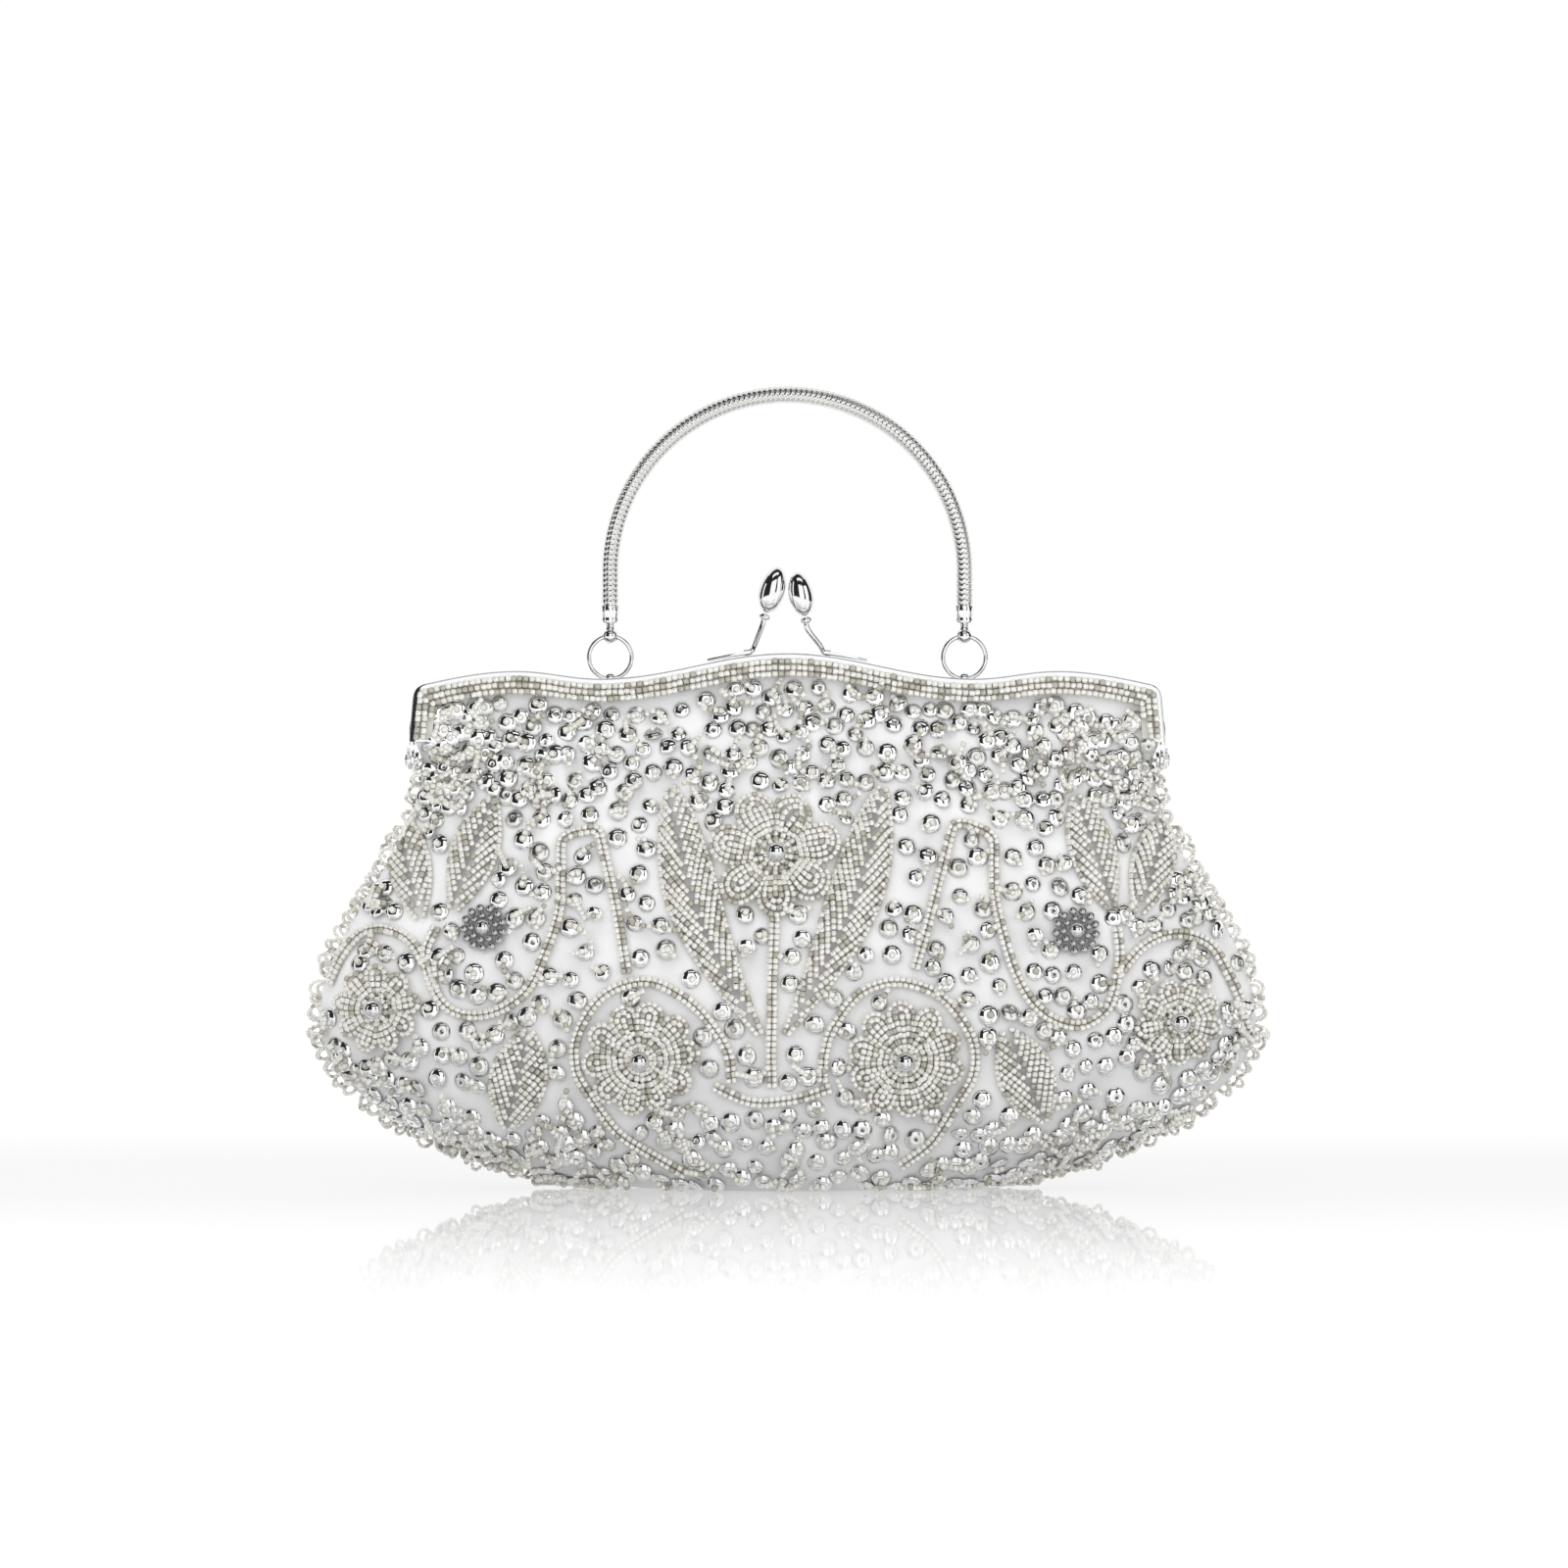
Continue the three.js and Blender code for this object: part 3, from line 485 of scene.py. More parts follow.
class Store:
    """Gathers the beads, sequins and balls of one piece."""

    def __init__(self):
        self.groups = [], [], []

    def bead(self, c, t, n, r=1.0, h=0.93, painted_shade_share=0.0):
        """Beads at c along t; the last argument, from 0 to 1, makes more of them dark, as painted shade."""
        k = len(c)
        size = rng.normal(1, 0.035, (k, 1)) * np.array([[h, r, r]])
        odds = np.array(BEAD_ODDS) + painted_shade_share * np.array([-0.2, -0.1, 0.1, 0.2])
        odds = np.clip(odds, 0.02, None)
        kinds = rng.choice(len(BEADS), k, p=odds / odds.sum())
        jitter = rng.normal(0, 0.06, (k, 3))
        self.groups[0].append((c, basis_of(unit(t) + jitter, n), size, kinds))

    def disc(self, c, n, r):
        t = np.cross(n, rng.normal(size=n.shape))
        kinds = rng.choice(len(SEQUINS), len(c), p=SEQUIN_ODDS)
        self.groups[1].append((c, basis_of(t, n), np.repeat(r[:, None], 3, 1), kinds))

    def ball(self, c, r, kind=0):
        k = len(c)
        basis = np.repeat(np.eye(3)[None], k, 0)
        self.groups[2].append((c, basis, np.full((k, 3), r), np.full(k, kind)))

    def object(self, name, rear=False):
        parts, quad_mats, tri_mats = [], [], []
        for template, group, shift in zip(TEMPLATES, self.groups, (0, len(BEADS), len(BEADS + SEQUINS))):
            if group:
                c, b, s, k = (np.concatenate([g[i] for g in group]) for i in range(4))
                parts.append(instances(template, c, b, s))
                quad_mats.append(np.repeat(k + shift, len(template[1])))
                tri_mats.append(np.repeat(k + shift, len(template[2])))
        return build(name, joined(parts), BEADS + SEQUINS + BALLS, rear,
                     np.concatenate(quad_mats), np.concatenate(tri_mats))


TEMPLATES = bead_template(), sequin_template(), ball_template()
PITCH = 1.75
placed = []


def curve(points, count=160):
    """A smooth line through the points, in a plane or in space (Catmull-Rom)."""
    p = np.asarray(points, float)
    p = np.vstack([2 * p[0] - p[1], p, 2 * p[-1] - p[-2]])
    u = np.linspace(0, len(p) - 3, count)
    i = np.minimum(u.astype(int), len(p) - 4)
    t = (u - i)[:, None]
    a, b, c, d = p[i], p[i + 1], p[i + 2], p[i + 3]
    square, cube = 2 * a - 5 * b + 4 * c - d, 3 * b - a - 3 * c + d
    return 0.5 * (2 * b + (c - a) * t + square * t ** 2 + cube * t ** 3)


def sideways(line, amount):
    t = unit(np.gradient(line, axis=0))
    return line + amount * np.stack([t[:, 1], -t[:, 0]], -1)


def strung(p, n, spacing):
    """Evenly spaced places, directions and normals along a 3-D line."""
    s = np.concatenate([[0], np.cumsum(np.linalg.norm(np.diff(p, axis=0), axis=1))])
    k = max(1, int(round(s[-1] / spacing)))
    at = (np.arange(k) + 0.5) * s[-1] / k

    def pick(values, where):
        return np.stack([np.interp(where, s, column) for column in values.T], -1)

    return pick(p, at), pick(p, at + 0.5) - pick(p, at - 0.5), pick(n, at)


def bead_row(store, line, lift=0.9, painted_shade_share=0.0):
    """A row of seed beads along a line on the satin; sequins keep clear of it."""
    p, n = on_skin(line[:, 0], line[:, 1], lift)
    if np.linalg.norm(p[-1] - p[0]) < 0.6 * PITCH and len(line) < 6:
        return
    c, t, nn = strung(p, n, PITCH)
    store.bead(c, t, nn, r=0.86, h=0.48 * PITCH, painted_shade_share=painted_shade_share)
    placed.append(c[:, [0, 2]])


def clamp_x(line):
    limit = 0.985 * half_width(line[:, 1])
    return np.stack([np.clip(line[:, 0], -limit, limit), line[:, 1]], -1)


def circle(x, z, radius):
    t = np.linspace(0, 2 * math.pi, 40)
    return np.stack([x + radius * np.cos(t), z + radius * np.sin(t)], -1)


def flower(store, x, z, radius, petals, loops, puff, spin, crowd, middle):
    """Round petals, each of nested loops of beads over a raised pad; every petal laps the next."""
    core = 3.2
    spread = math.tan(math.pi / petals) * crowd
    offsets = (np.arange(loops) + (0.0 if middle else 0.5)) * PITCH
    wide = offsets[-1] + 0.5 * PITCH
    # the core's rings lie low under the petals; more of their beads are dark, painted shade
    for r in np.arange(core, radius - 1.6 * wide, 1.6):
        bead_row(store, circle(x, z, r), 0.45, painted_shade_share=0.6)
    for i in range(petals):
        angle = spin + 2 * math.pi * i / petals
        out = np.array([math.cos(angle), math.sin(angle)])
        side = np.array([-out[1], out[0]])
        size = radius * rng.uniform(0.96, 1.03)
        cap = size - wide
        for c in offsets[::-1]:
            whole = c == offsets[-1] or c == 0
            start = core if whole else max(core, 0.55 * wide / spread)
            leg = np.linspace(start, cap, 16)
            reach = c * np.minimum(1, leg * spread / wide)
            if c == 0:
                along, across = np.append(leg, cap + 0.3), np.zeros(len(leg) + 1)
            else:
                arc = np.linspace(0, math.pi, 18)[1:-1]
                along = np.concatenate([leg, cap + c * np.sin(arc), leg[::-1]])
                across = np.concatenate([-reach, -c * np.cos(arc), reach[::-1]])
            full = smooth((along - core) / (0.35 * radius)) * (1 - (c / wide) ** 2)
            lift = 1.3 + puff * full + 0.5 * across / wide
            line = np.array([x, z]) + along[:, None] * out + across[:, None] * side
            # the outermost loop, lapped by the next petal, gets more dark beads as painted shade
            bead_row(store, clamp_x(line), lift, painted_shade_share=0.3 if c == offsets[-1] else 0.0)
    bead_row(store, circle(x, z, 2.9), 2.1)
    store.ball(on_skin([x], [z], [4.2])[0], 3.0)


def leaf(store, base, tip, widest, peak, slant, bend=0.0):
    """Chevron rows from a midrib out to both margins."""
    base, tip = np.array(base, float), np.array(tip, float)
    length = np.linalg.norm(tip - base)
    along = (tip - base) / length
    side = np.array([along[1], -along[0]])

    def margin(s):
        s = np.clip(s, 0, 1)
        return widest * np.sin(np.pi * s ** peak) ** 0.8

    def place(s, across):
        mid = base + np.multiply.outer(s * length, along) + np.multiply.outer(bend * np.sin(np.pi * s), side)
        return mid + np.multiply.outer(across, side)

    step = 1.68 / math.sin(slant)
    for hand in (-1, 1):
        start = -widest / math.tan(slant)
        while start < length:
            d = np.linspace(0, 1.6 * widest / math.sin(slant), 60)
            s = (start + d * math.cos(slant)) / length
            across = 0.55 + d * math.sin(slant)
            ok = (across <= margin(s) + 0.2) & (s > 0.0) & (s < 1.0)
            if ok.sum() > 3:
                s, across = s[ok], across[ok]
                share = across / np.maximum(margin(s), 1.0)
                lift = 0.9 + 1.5 * np.sin(np.pi * np.clip(0.12 + 0.8 * share, 0, 1))
                bead_row(store, clamp_x(place(s, hand * across)), lift)
            start += step
        s = np.linspace(0.02, 0.995, 50)
        # the margin row lies lowest, with more dark beads as painted shade
        bead_row(store, clamp_x(place(s, hand * (margin(s) + 0.5))), 0.85, painted_shade_share=0.2)


def vine(store, points):
    """Two rows of beads side by side along a curve."""
    line = clamp_x(curve(points))
    for side in (-0.5, 0.5):
        bead_row(store, clamp_x(sideways(line, side * 1.72)), 1.0)


def rosette(store, x, z):
    """A large ball among two rings of small ones."""
    store.ball(on_skin([x], [z], [2.6])[0], 2.4)
    for radius, count, size, lift in ((3.75, 9, 1.15, 1.5), (6.0, 13, 1.3, 1.3)):
        a = np.arange(count) * 2 * np.pi / count + 0.3
        c = on_skin(x + radius * np.cos(a), z + radius * np.sin(a), lift)[0]
        # the small balls take the darkened silver, painted shade among the rosette's balls
        store.ball(c, size, kind=1)
    placed.append(np.stack([x + 6 * np.cos(a), z + 6 * np.sin(a)], -1))
    placed.append(np.array([[x, z]]))


motifs = {}


def motif(name):
    motifs[name] = Store()
    return motifs[name]


for name, *how, crowd, middle in (
    ("centre", -3.5, 100.3, 19.6, 7, 4, 2.4, 0.25, 1.12, True),
    ("inner_left", -43.2, 40.3, 17.6, 10, 3, 1.5, 0.1, 1.08, True),
    ("inner_right", 34.7, 40.0, 17.6, 10, 3, 1.5, 0.4, 1.08, True),
    ("outer_left", -122.0, 54.1, 13.4, 9, 2, 1.2, 0.2, 1.12, False),
    ("outer_right", 116.2, 50.6, 13.4, 9, 2, 1.2, 0.5, 1.12, False),
):
    flower(motif("flower_" + name), *how, crowd=crowd, middle=middle)
rosette(motif("rosette_left"), -90, 78.5)
rosette(motif("rosette_right"), 85.6, 77.6)
for name, base, tip, *how in (
    ("centre_left", (-7.2, 46.0), (-34.6, 121.0), 7.2, 1.45, 0.44, -5.4),
    ("centre_right", (-1.6, 46.0), (28.6, 121.0), 7.1, 1.45, 0.44, 4.4),
    ("upper_left", (-99.6, 83.0), (-87.8, 117.2), 6.2, 1.1, 0.5),
    ("upper_right", (96.4, 83.6), (86.0, 118.0), 6.0, 1.1, 0.5),
    ("side_left", (-109.4, 80.5), (-116.4, 112.8), 5.6, 1.1, 0.5),
    ("side_right", (104.6, 82.1), (113.4, 111.8), 5.6, 1.1, 0.5),
    ("lower_left", (-83.2, 18.8), (-76.5, 48.8), 7.6, 1.0, 0.5),
    ("lower_right", (76.5, 21.2), (64.7, 48.8), 7.4, 1.0, 0.5),
):
    leaf(motif("leaf_" + name), base, tip, *how)

vines = motif("vines")
for points in (
    [(-3.8, 82), (-4.4, 62), (-4.8, 45), (-4.6, 31.5)],
    [(-21.9, 32.6), (-14, 28.6), (-7.3, 27.3), (3, 28.6), (12.9, 31.8)],
    [(-16.5, 33.2), (-18, 43), (-25.9, 54.4), (-36, 61.5), (-45.3, 62.9), (-55.5, 58), (-62.4, 46.8),
     (-62.6, 37), (-58.5, 29.4), (-51, 19), (-41.5, 12.4), (-30, 5.8)],
    [(10.3, 33.2), (11, 42), (14.1, 50.6), (22, 60), (33.2, 62.9), (45.5, 58.5), (54.4, 46.8),
     (55, 36), (50.6, 27.6), (43, 15.5), (33.2, 8.0)],
    [(-47.4, 65.3), (-49.5, 78), (-52.4, 92), (-55.2, 104), (-56.6, 107.4), (-60.0, 107.6),
     (-65.0, 106.2), (-67.4, 103.8), (-67.4, 96), (-67.6, 84.5), (-71.2, 72.9), (-77.6, 59.7),
     (-88.8, 53.2), (-99.7, 54.1), (-105.9, 62.1), (-107.6, 71.1), (-104.4, 78.9)],
    [(-104.5, 60.0), (-110.9, 72.9), (-118.5, 77.7), (-126.5, 77.0), (-133.1, 70.1), (-137.5, 61.1)],
    [(37.6, 66.5), (41.5, 80), (45.2, 94), (48.6, 106), (50.2, 109.2), (53.5, 109.2), (59.0, 107),
     (61.2, 104.4), (61.4, 97), (62.1, 84.3), (67.6, 65.3), (75.3, 54.1), (86.5, 49.7), (95.3, 55.3),
     (98.5, 68.5), (98.0, 78.7)],
    [(98.2, 64.5), (106.2, 73.1), (116.2, 76.4), (126.0, 73.3), (131.9, 64.1), (135.5, 56.5)],
):
    vine(vines, points)

# --- sequins between the motifs

taken = np.concatenate(placed)


def scatter():
    """Places of the sequins: close together under the frame and near the base, looser between the motifs."""
    kept = np.zeros((0, 2))
    gaps = np.zeros(0)
    for _ in range(9000):
        z = rng.uniform(1.2, 152)
        w = float(half_width(min(z, THROAT))) if z < THROAT else float(arm_x(z)) - 3.5
        x = rng.uniform(-w, w) * 0.985
        if z > float(rim(x)) - 9.6 or (z > 133 and abs(x) > 108.5):
            continue
        slope = 1.0 / max(0.35, math.sqrt(max(0.05, 1 - (x / w) ** 2)))
        dense = max(smooth((z - 110) / 10), smooth((27 - z) / 9), smooth((abs(x) / w - 0.86) / 0.08))
        gap = 6.9 + (4.6 - 6.9) * float(dense)
        d = np.hypot(taken[:, 0] - x, taken[:, 1] - z).min()
        if d < 3.0:
            continue
        if d < 4.4:
            gap = min(gap, 5.6)
        if len(kept):
            dist = np.hypot((kept[:, 0] - x) * slope, kept[:, 1] - z)
            if (dist < np.minimum(gap, gaps)).any():
                continue
        kept = np.vstack([kept, [x, z]])
        gaps = np.append(gaps, gap)
    return kept


spots = scatter()
spots = spots[np.argsort(-spots[:, 1])]


def sequins(store, where):
    count = len(where)
    lift = rng.uniform(0.35, 1.0, count)
    p, n = on_skin(where[:, 0], where[:, 1], lift)
    tip = unit(n + rng.normal(0, 0.17, n.shape))
    r = rng.choice([2.6, 2.85, 3.0, 3.2], count, p=[0.15, 0.3, 0.3, 0.25])
    store.disc(p, tip, r)
    for i in range(count):
        pick = rng.random()
        if pick < 0.12:
            continue
        t = unit(np.cross(tip[i], rng.normal(size=3)))
        u = np.cross(tip[i], t)
        top = p[i] + tip[i] * (0.22 * r[i])
        if pick < 0.34:
            # one bead holds the sequin
            store.bead((top + tip[i] * 0.8)[None], t[None], tip[i][None], r=0.95, h=0.8)
            continue
        # a loop of beads from the hole over the edge
        k = rng.integers(2, 5)
        a = np.linspace(0.0, 1.0, k)
        bow = np.sin(a * np.pi)
        reach = 1.62 * (k - 1) * rng.uniform(0.95, 1.05)
        curl = rng.uniform(-1.2, 1.2)
        up = np.repeat(tip[i][None], k, 0)
        c = (top + tip[i] * 0.8 + np.multiply.outer(a * reach, t) + np.multiply.outer(bow * curl, u)
             + np.multiply.outer(0.45 * bow, tip[i]))
        store.bead(c, np.gradient(c, axis=0), up, r=0.9, h=0.8)
        if pick > 0.72:
            c = top + tip[i] * 0.75 + np.multiply.outer(a * reach * 0.9 + 1.2, -t * 0.6 + u * 0.8)
            store.bead(c, np.gradient(c, axis=0), up, r=0.9, h=0.8)


# The sequins are three pieces: those above CUT go with the front cloth and have their place baked in, the
# rest are parted at WAIST
CUT, WAIST = 116.0, 46.0
low_sequins, middle_sequins, high_sequins = Store(), Store(), Store()
sequins(high_sequins, spots[spots[:, 1] >= CUT])
sequins(middle_sequins, spots[(spots[:, 1] < CUT) & (spots[:, 1] >= WAIST)])
sequins(low_sequins, spots[spots[:, 1] < WAIST])


def fringe(store, z0, z1):
    """Small loops of thin beads along the side seam."""
    for side in (-1, 1):
        z = np.linspace(z0, z1, 400)
        w = half_width(z)
        s = np.concatenate([[0], np.cumsum(np.hypot(np.diff(w), np.diff(z)))])
        at = np.arange(1.5, s[-1] - 1.0, 4.4)
        at = at + rng.uniform(-1.2, 1.2, len(at))
        zz = np.interp(at, s, z)
        ww = np.interp(zz, z, w)
        ahead = np.interp(at + 0.5, s, w) - np.interp(at - 0.5, s, w)
        up = np.interp(at + 0.5, s, z) - np.interp(at - 0.5, s, z)
        for x, h, dx, dz in zip(ww, zz, ahead, up):
            t = unit(np.array([side * dx, 0, dz]))
            out = side * np.array([t[2], 0, -t[0]])
            y = rng.uniform(-3.4, 0.6)
            radius = rng.uniform(1.4, 2.6)
            lean = rng.uniform(-0.9, 0.9)
            angle = np.linspace(0.0, 1.0, 8) * math.pi
            way = t * math.cos(lean) + np.array([0, -1, 0]) * math.sin(lean)
            c = (np.array([side * x, y, h]) + out * 0.2 + np.multiply.outer(radius * np.cos(angle), way)
                 + np.multiply.outer(rng.uniform(0.9, 1.7) * radius * np.sin(angle), out))
            c[:, 2] = np.maximum(c[:, 2], 0.95)
            store.bead(c, np.gradient(c, axis=0), np.repeat(out[None], len(c), 0), r=0.55, h=0.58)


fringe(low_sequins, 1.6, WAIST)
fringe(middle_sequins, WAIST, CUT)
fringe(high_sequins, CUT, 127.5)

# --- cloth layers

THROAT_SHARE = 0.42  # where the throat lies on a layer's scale, 0 at the ground and 1 at its upper edge


def with_base(grid, shares):
    """A grid of rows from the ground up, with rows added below it to the base's middle line."""
    first = grid[0]
    caps = [np.stack([first[:, 0], -0.25 + (first[:, 1] + 0.25) * t, first[:, 2]], -1) for t in shares]
    return np.concatenate([np.array(caps), grid])


def standing(x, d, z, offset):
    """One row of a layer, lifted off the ground by the layers outside it."""
    return np.stack([x, -np.maximum(d, 0.25), z + offset * np.clip(1 - z / BELLY, 0, 1)], -1)


def layer(offset, thickness, top, cols=150, rows=130, groove=GROOVE, rumple=0.0):
    """One cloth layer of the front as outer and inner grids, from the base up to its edge, top(x)."""
    across = -np.cos(np.linspace(0, np.pi, cols))
    low = np.linspace(0, THROAT_SHARE, rows // 2)
    high = np.linspace(THROAT_SHARE, 1, rows - rows // 2 + 1)[1:]
    grids = []
    for extra in (0.0, thickness):
        off = offset + extra
        lines = []
        for s in np.concatenate([low, high]):
            if s <= THROAT_SHARE:
                z = np.full(cols, THROAT * (s / THROAT_SHARE) ** 1.35)
                w = half_width(z) - off
            else:
                edge = top(across * (RIM_END - EDGE_INSET))
                z = THROAT + (edge - THROAT) * (s - THROAT_SHARE) / (1 - THROAT_SHARE)
                narrow = THROAT_HALF[0] - off
                slant = np.clip((z - THROAT) / (SLANT_TOP - THROAT), 0, 1)
                wide = narrow + (arm_x(SLANT_TOP) - EDGE_INSET - narrow) * slant
                w = np.minimum(np.maximum(wide, narrow), arm_x(z) - EDGE_INSET)
            x = across * w
            if off == 0:
                d = depth(x, z)
            else:
                a = np.clip(np.abs(x) / (half_width(np.clip(z, 0, THROAT)) - off), 0, 1)
                ripple = np.sin(x * 0.21 + 1.1 * np.sin(z * 0.08)) * np.cos(z * 0.13 + 0.7 * np.sin(x * 0.07))
                calm = (1 - a ** 4) * (1 - smooth((z - 126) / 8)) * smooth(z / 20)
                uneven = wrinkle(x, z) if offset == 0 else rumple * ripple
                d = drawn(x, z, off, groove - extra) + uneven * calm
            lines.append(standing(x, d, z, off))
        grids.append(with_base(np.array(lines), (0.0, 0.33, 0.66)))
    return grids


def cloth(name, grids, mat, slot, body, *nodes):
    o = build(name, shell(*grids), [mat], rear=name.startswith("rear"), sharp=60)
    enter(o, slot, body, *nodes)
    return o


def cloth_top(x):
    return rim_point(x, EDGE_INSET)[1]


outer_grids = layer(0.0, 1.0, cloth_top)
cloth("front_satin", outer_grids, satin, "satin", "bending", "front_panel", "front_panel_top")
cloth("rear_satin", outer_grids, satin, "satin", "pouch", "rear_panel")
inner_grids = layer(3.4, 0.8, cloth_top, cols=110, rows=90, groove=2.1, rumple=0.7)
cloth("front_lining_cloth", inner_grids, lining, "lining", "bending", "front_lining", "front_lining_top")
cloth("rear_lining_cloth", inner_grids, lining, "lining", "pouch", "rear_lining")


def pad(offset, thickness, top):
    """A wadding layer of the front, lumpier than the cloth."""
    across = -np.cos(np.linspace(0, np.pi, 90))
    calm = 1 - np.abs(across) ** 4
    grids = []
    for off in (offset, offset + thickness):
        lines = []
        for height in np.linspace(0, 1, 60) ** 1.3 * top:
            z = np.full(90, height)
            x = across * (half_width(z) - off)
            lump = 0.10 * np.sin(x * 0.5) * np.sin(z * 0.6) + 0.08 * np.sin(x * 1.1 + z * 0.9)
            lines.append(standing(x, lens(x, z, off) + (lump + 0.35 * wrinkle(x, z)) * calm, z, off))
        grids.append(with_base(np.array(lines), (0.0, 0.4, 0.7)))
    return grids


pad_grids = pad(1.5, 1.6, 127.2)
for face, body in (("front", "bending"), ("rear", "pouch")):
    layered = cloth(face + "_wadding", pad_grids, wadding, "wadding", body, face + "_padding")


def pocket():
    """A slip pocket inside the rear lining, a little slack at its hem."""
    half, bottom, top, hang = 52, 42, 92, 5.2
    xs, zs = np.meshgrid(np.linspace(-half, half, 70), np.linspace(bottom, top, 40))
    across, up = xs / half, (zs - bottom) / (top - bottom)
    bulge = (1 - across ** 4) * (0.15 + 0.45 * up) * (0.6 + 0.4 * np.sin(xs * 0.16 + 1.0)) * 0.6
    hem = 0.22 * smooth((zs - 88) / 1.0) * (1 - smooth((zs - 91.4) / 0.6))
    grids = []
    for off, fold in ((hang + 0.6, hem), (hang, 0 * hem)):
        grids.append(np.stack([xs, lens(xs, zs, off) - bulge - fold, zs], -1))
    return grids


cloth("slip_pocket_cloth", pocket(), lining, "lining", "pouch", "slip_pocket")

# --- frame, trims and hinges


RIM_Y = -3.05


def to_and_fro(half):
    """Half a section, from its front to RIM_Y, and its mirror image behind."""
    return half + [(inset, 2 * RIM_Y - y) for inset, y in half[-2::-1]]


def frame_half(ear_face):
    """A bent channel that follows the rim, with an ear at the end of each arm."""
    # the section as (distance inside the rim, place in depth), round the outside and back inside
    outer = to_and_fro([(CHANNEL, -5.9), (3.0, -5.9), (0.62, -5.9), (0.3, -5.82), (0.08, -5.6), (0.0, -5.28),
                        (0.0, RIM_Y)])
    inner = to_and_fro([(CHANNEL, -5.1), (3.0, -5.1), (1.0, -5.1), (0.92, -5.09), (0.84, -5.0), (0.8, -4.9),
                        (0.8, RIM_Y)])
    section = outer + inner[::-1]
    lines = [outline(inset) for inset, y in section]
    n = len(lines[0])
    rows = [np.stack([line[:, 0], np.full(n, y), line[:, 1]], -1) for line, (inset, y) in zip(lines, section)]
    k = len(section)
    caps = []
    for at, flip in ((0, False), ((n - 1) * k, True)):
        for j in range(len(outer) - 1):
            a, b, c, d = at + j, at + j + 1, at + k - 2 - j, at + k - 1 - j
            caps.append((a, d, c, b) if flip else (a, b, c, d))
    channel = np.stack(rows, 1).reshape(-1, 3), np.concatenate([ring_quads(n, k), caps]), NO_TRIS
    return joined([channel, ear(-ear_face, -1), ear(ear_face, 1)])


EAR_RADIUS, EAR_TOP, EAR_WIDTH, EAR_NECK = 3.0, 11.5, 5.9, 4.0


def ear_reach(c, s):
    """Distance from the pin's axis to the ear's edge, in the direction (c, s)."""
    if s <= 0 or c >= 0:
        return EAR_RADIUS
    r = max(min(EAR_TOP / s, EAR_WIDTH / -c), EAR_RADIUS)
    # below the arm's end the plate narrows to its round eye
    if r > EAR_RADIUS and r * s < EAR_NECK:
        r = EAR_RADIUS + (r - EAR_RADIUS) * smooth(r * s / EAR_NECK)
    return float(r)


def ear(face, side):
    """A plate across the arm's end with the rivet's hole through it."""
    n = 96
    angle = np.linspace(0, 2 * np.pi, n, endpoint=False)
    unit = np.stack([np.cos(angle), np.sin(angle)], -1)
    outer = unit * np.array([ear_reach(c, s) for c, s in unit])[:, None]
    hole = 1.3 * unit
    v = np.concatenate([
        np.column_stack([np.full(n, x), pts[:, 0], pts[:, 1] + HINGE])
        for x in (face, face - side * 0.8) for pts in (outer, hole)
    ])
    i = np.arange(n)
    j = (i + 1) % n
    q = np.concatenate([np.stack(corners, -1) for corners in (
        (i, j, n + j, n + i),
        (2 * n + i, 3 * n + i, 3 * n + j, 2 * n + j),
        (i, 2 * n + i, 2 * n + j, j),
        (n + i, n + j, 3 * n + j, 3 * n + i),
    )])
    return v, (q if side < 0 else q[:, ::-1]), NO_TRIS


def metal(name, part, node_name, body, rear=False, mat=nickel, sharp=35):
    o = build(name, part, [mat], rear, sharp=sharp)
    enter(o, "snake_chain" if mat is steel else "nickel", body, node_name)


metal("front_frame_rim", frame_half(114.0), "front_frame", "front_half")
metal("rear_frame_rim", frame_half(112.9), "rear_frame", "pouch", rear=True)


def rivet(side):
    dome = [(2.4 * math.cos(a), 1.0 * math.sin(a)) for a in np.linspace(0, math.pi / 2, 8)[:-1]]
    profile = ([(0, 110.8), (2.2, 110.8), (2.4, 111.0), (2.4, 111.75), (1.0, 111.8), (1.0, 114.3)]
               + [(r, 114.3 + h) for r, h in dome] + [(0, 115.3)])
    v, q, t = lathe(profile, 36)
    v = np.stack([v[:, 2] * side, v[:, 1], v[:, 0] + HINGE], -1)
    return v, (q if side < 0 else q[:, ::-1]), (t if side < 0 else t[:, ::-1])


for name, side in (("right", 1), ("left", -1)):
    metal("rivet_" + name, rivet(side), "hinge_rivet_" + name, "pouch")


def trim(name, node_name, body, rear):
    """Three rows of beads on a tape along the rim; two of them go on down the arms."""
    store = Store()
    for k, inset in enumerate((2.4, 4.3, 6.2)):
        line = outline(inset, end=134.6 if k < 2 else 141, steps=200)
        p = np.stack([line[:, 0], -7.30 + 0.12 * np.sin(line[:, 0] * 0.9 + k), line[:, 1]], -1)
        n = np.tile([0.0, -1.0, 0.0], (len(p), 1))
        c, t, nn = strung(p, n, 1.8)
        c += rng.normal(0, 0.07, c.shape)
        if rear:
            # the rear trim leaves room for the two lugs
            away = np.abs(np.abs(c[:, 0]) - SPAN) > 2.6
            c, t, nn = c[away], t[away], nn[away]
        # the trim's beads are mostly dark ones, painted shade
        store.bead(c, t, nn, r=0.92, h=0.87, painted_shade_share=0.7)
    enter(store.object(name, rear), "glass_beads", body, node_name)
    band = []
    for y in (-6.65, -6.2):
        grid = []
        for inset in (1.6, 3.4, 5.3, 7.0):
            line = outline(inset, end=135, steps=120)
            grid.append(np.stack([line[:, 0], np.full(len(line), y), line[:, 1]], -1))
        band.append(np.array(grid)[::-1])
    enter(build(name + "_tape", shell(*band), [tape], rear, sharp=40), "satin", body)


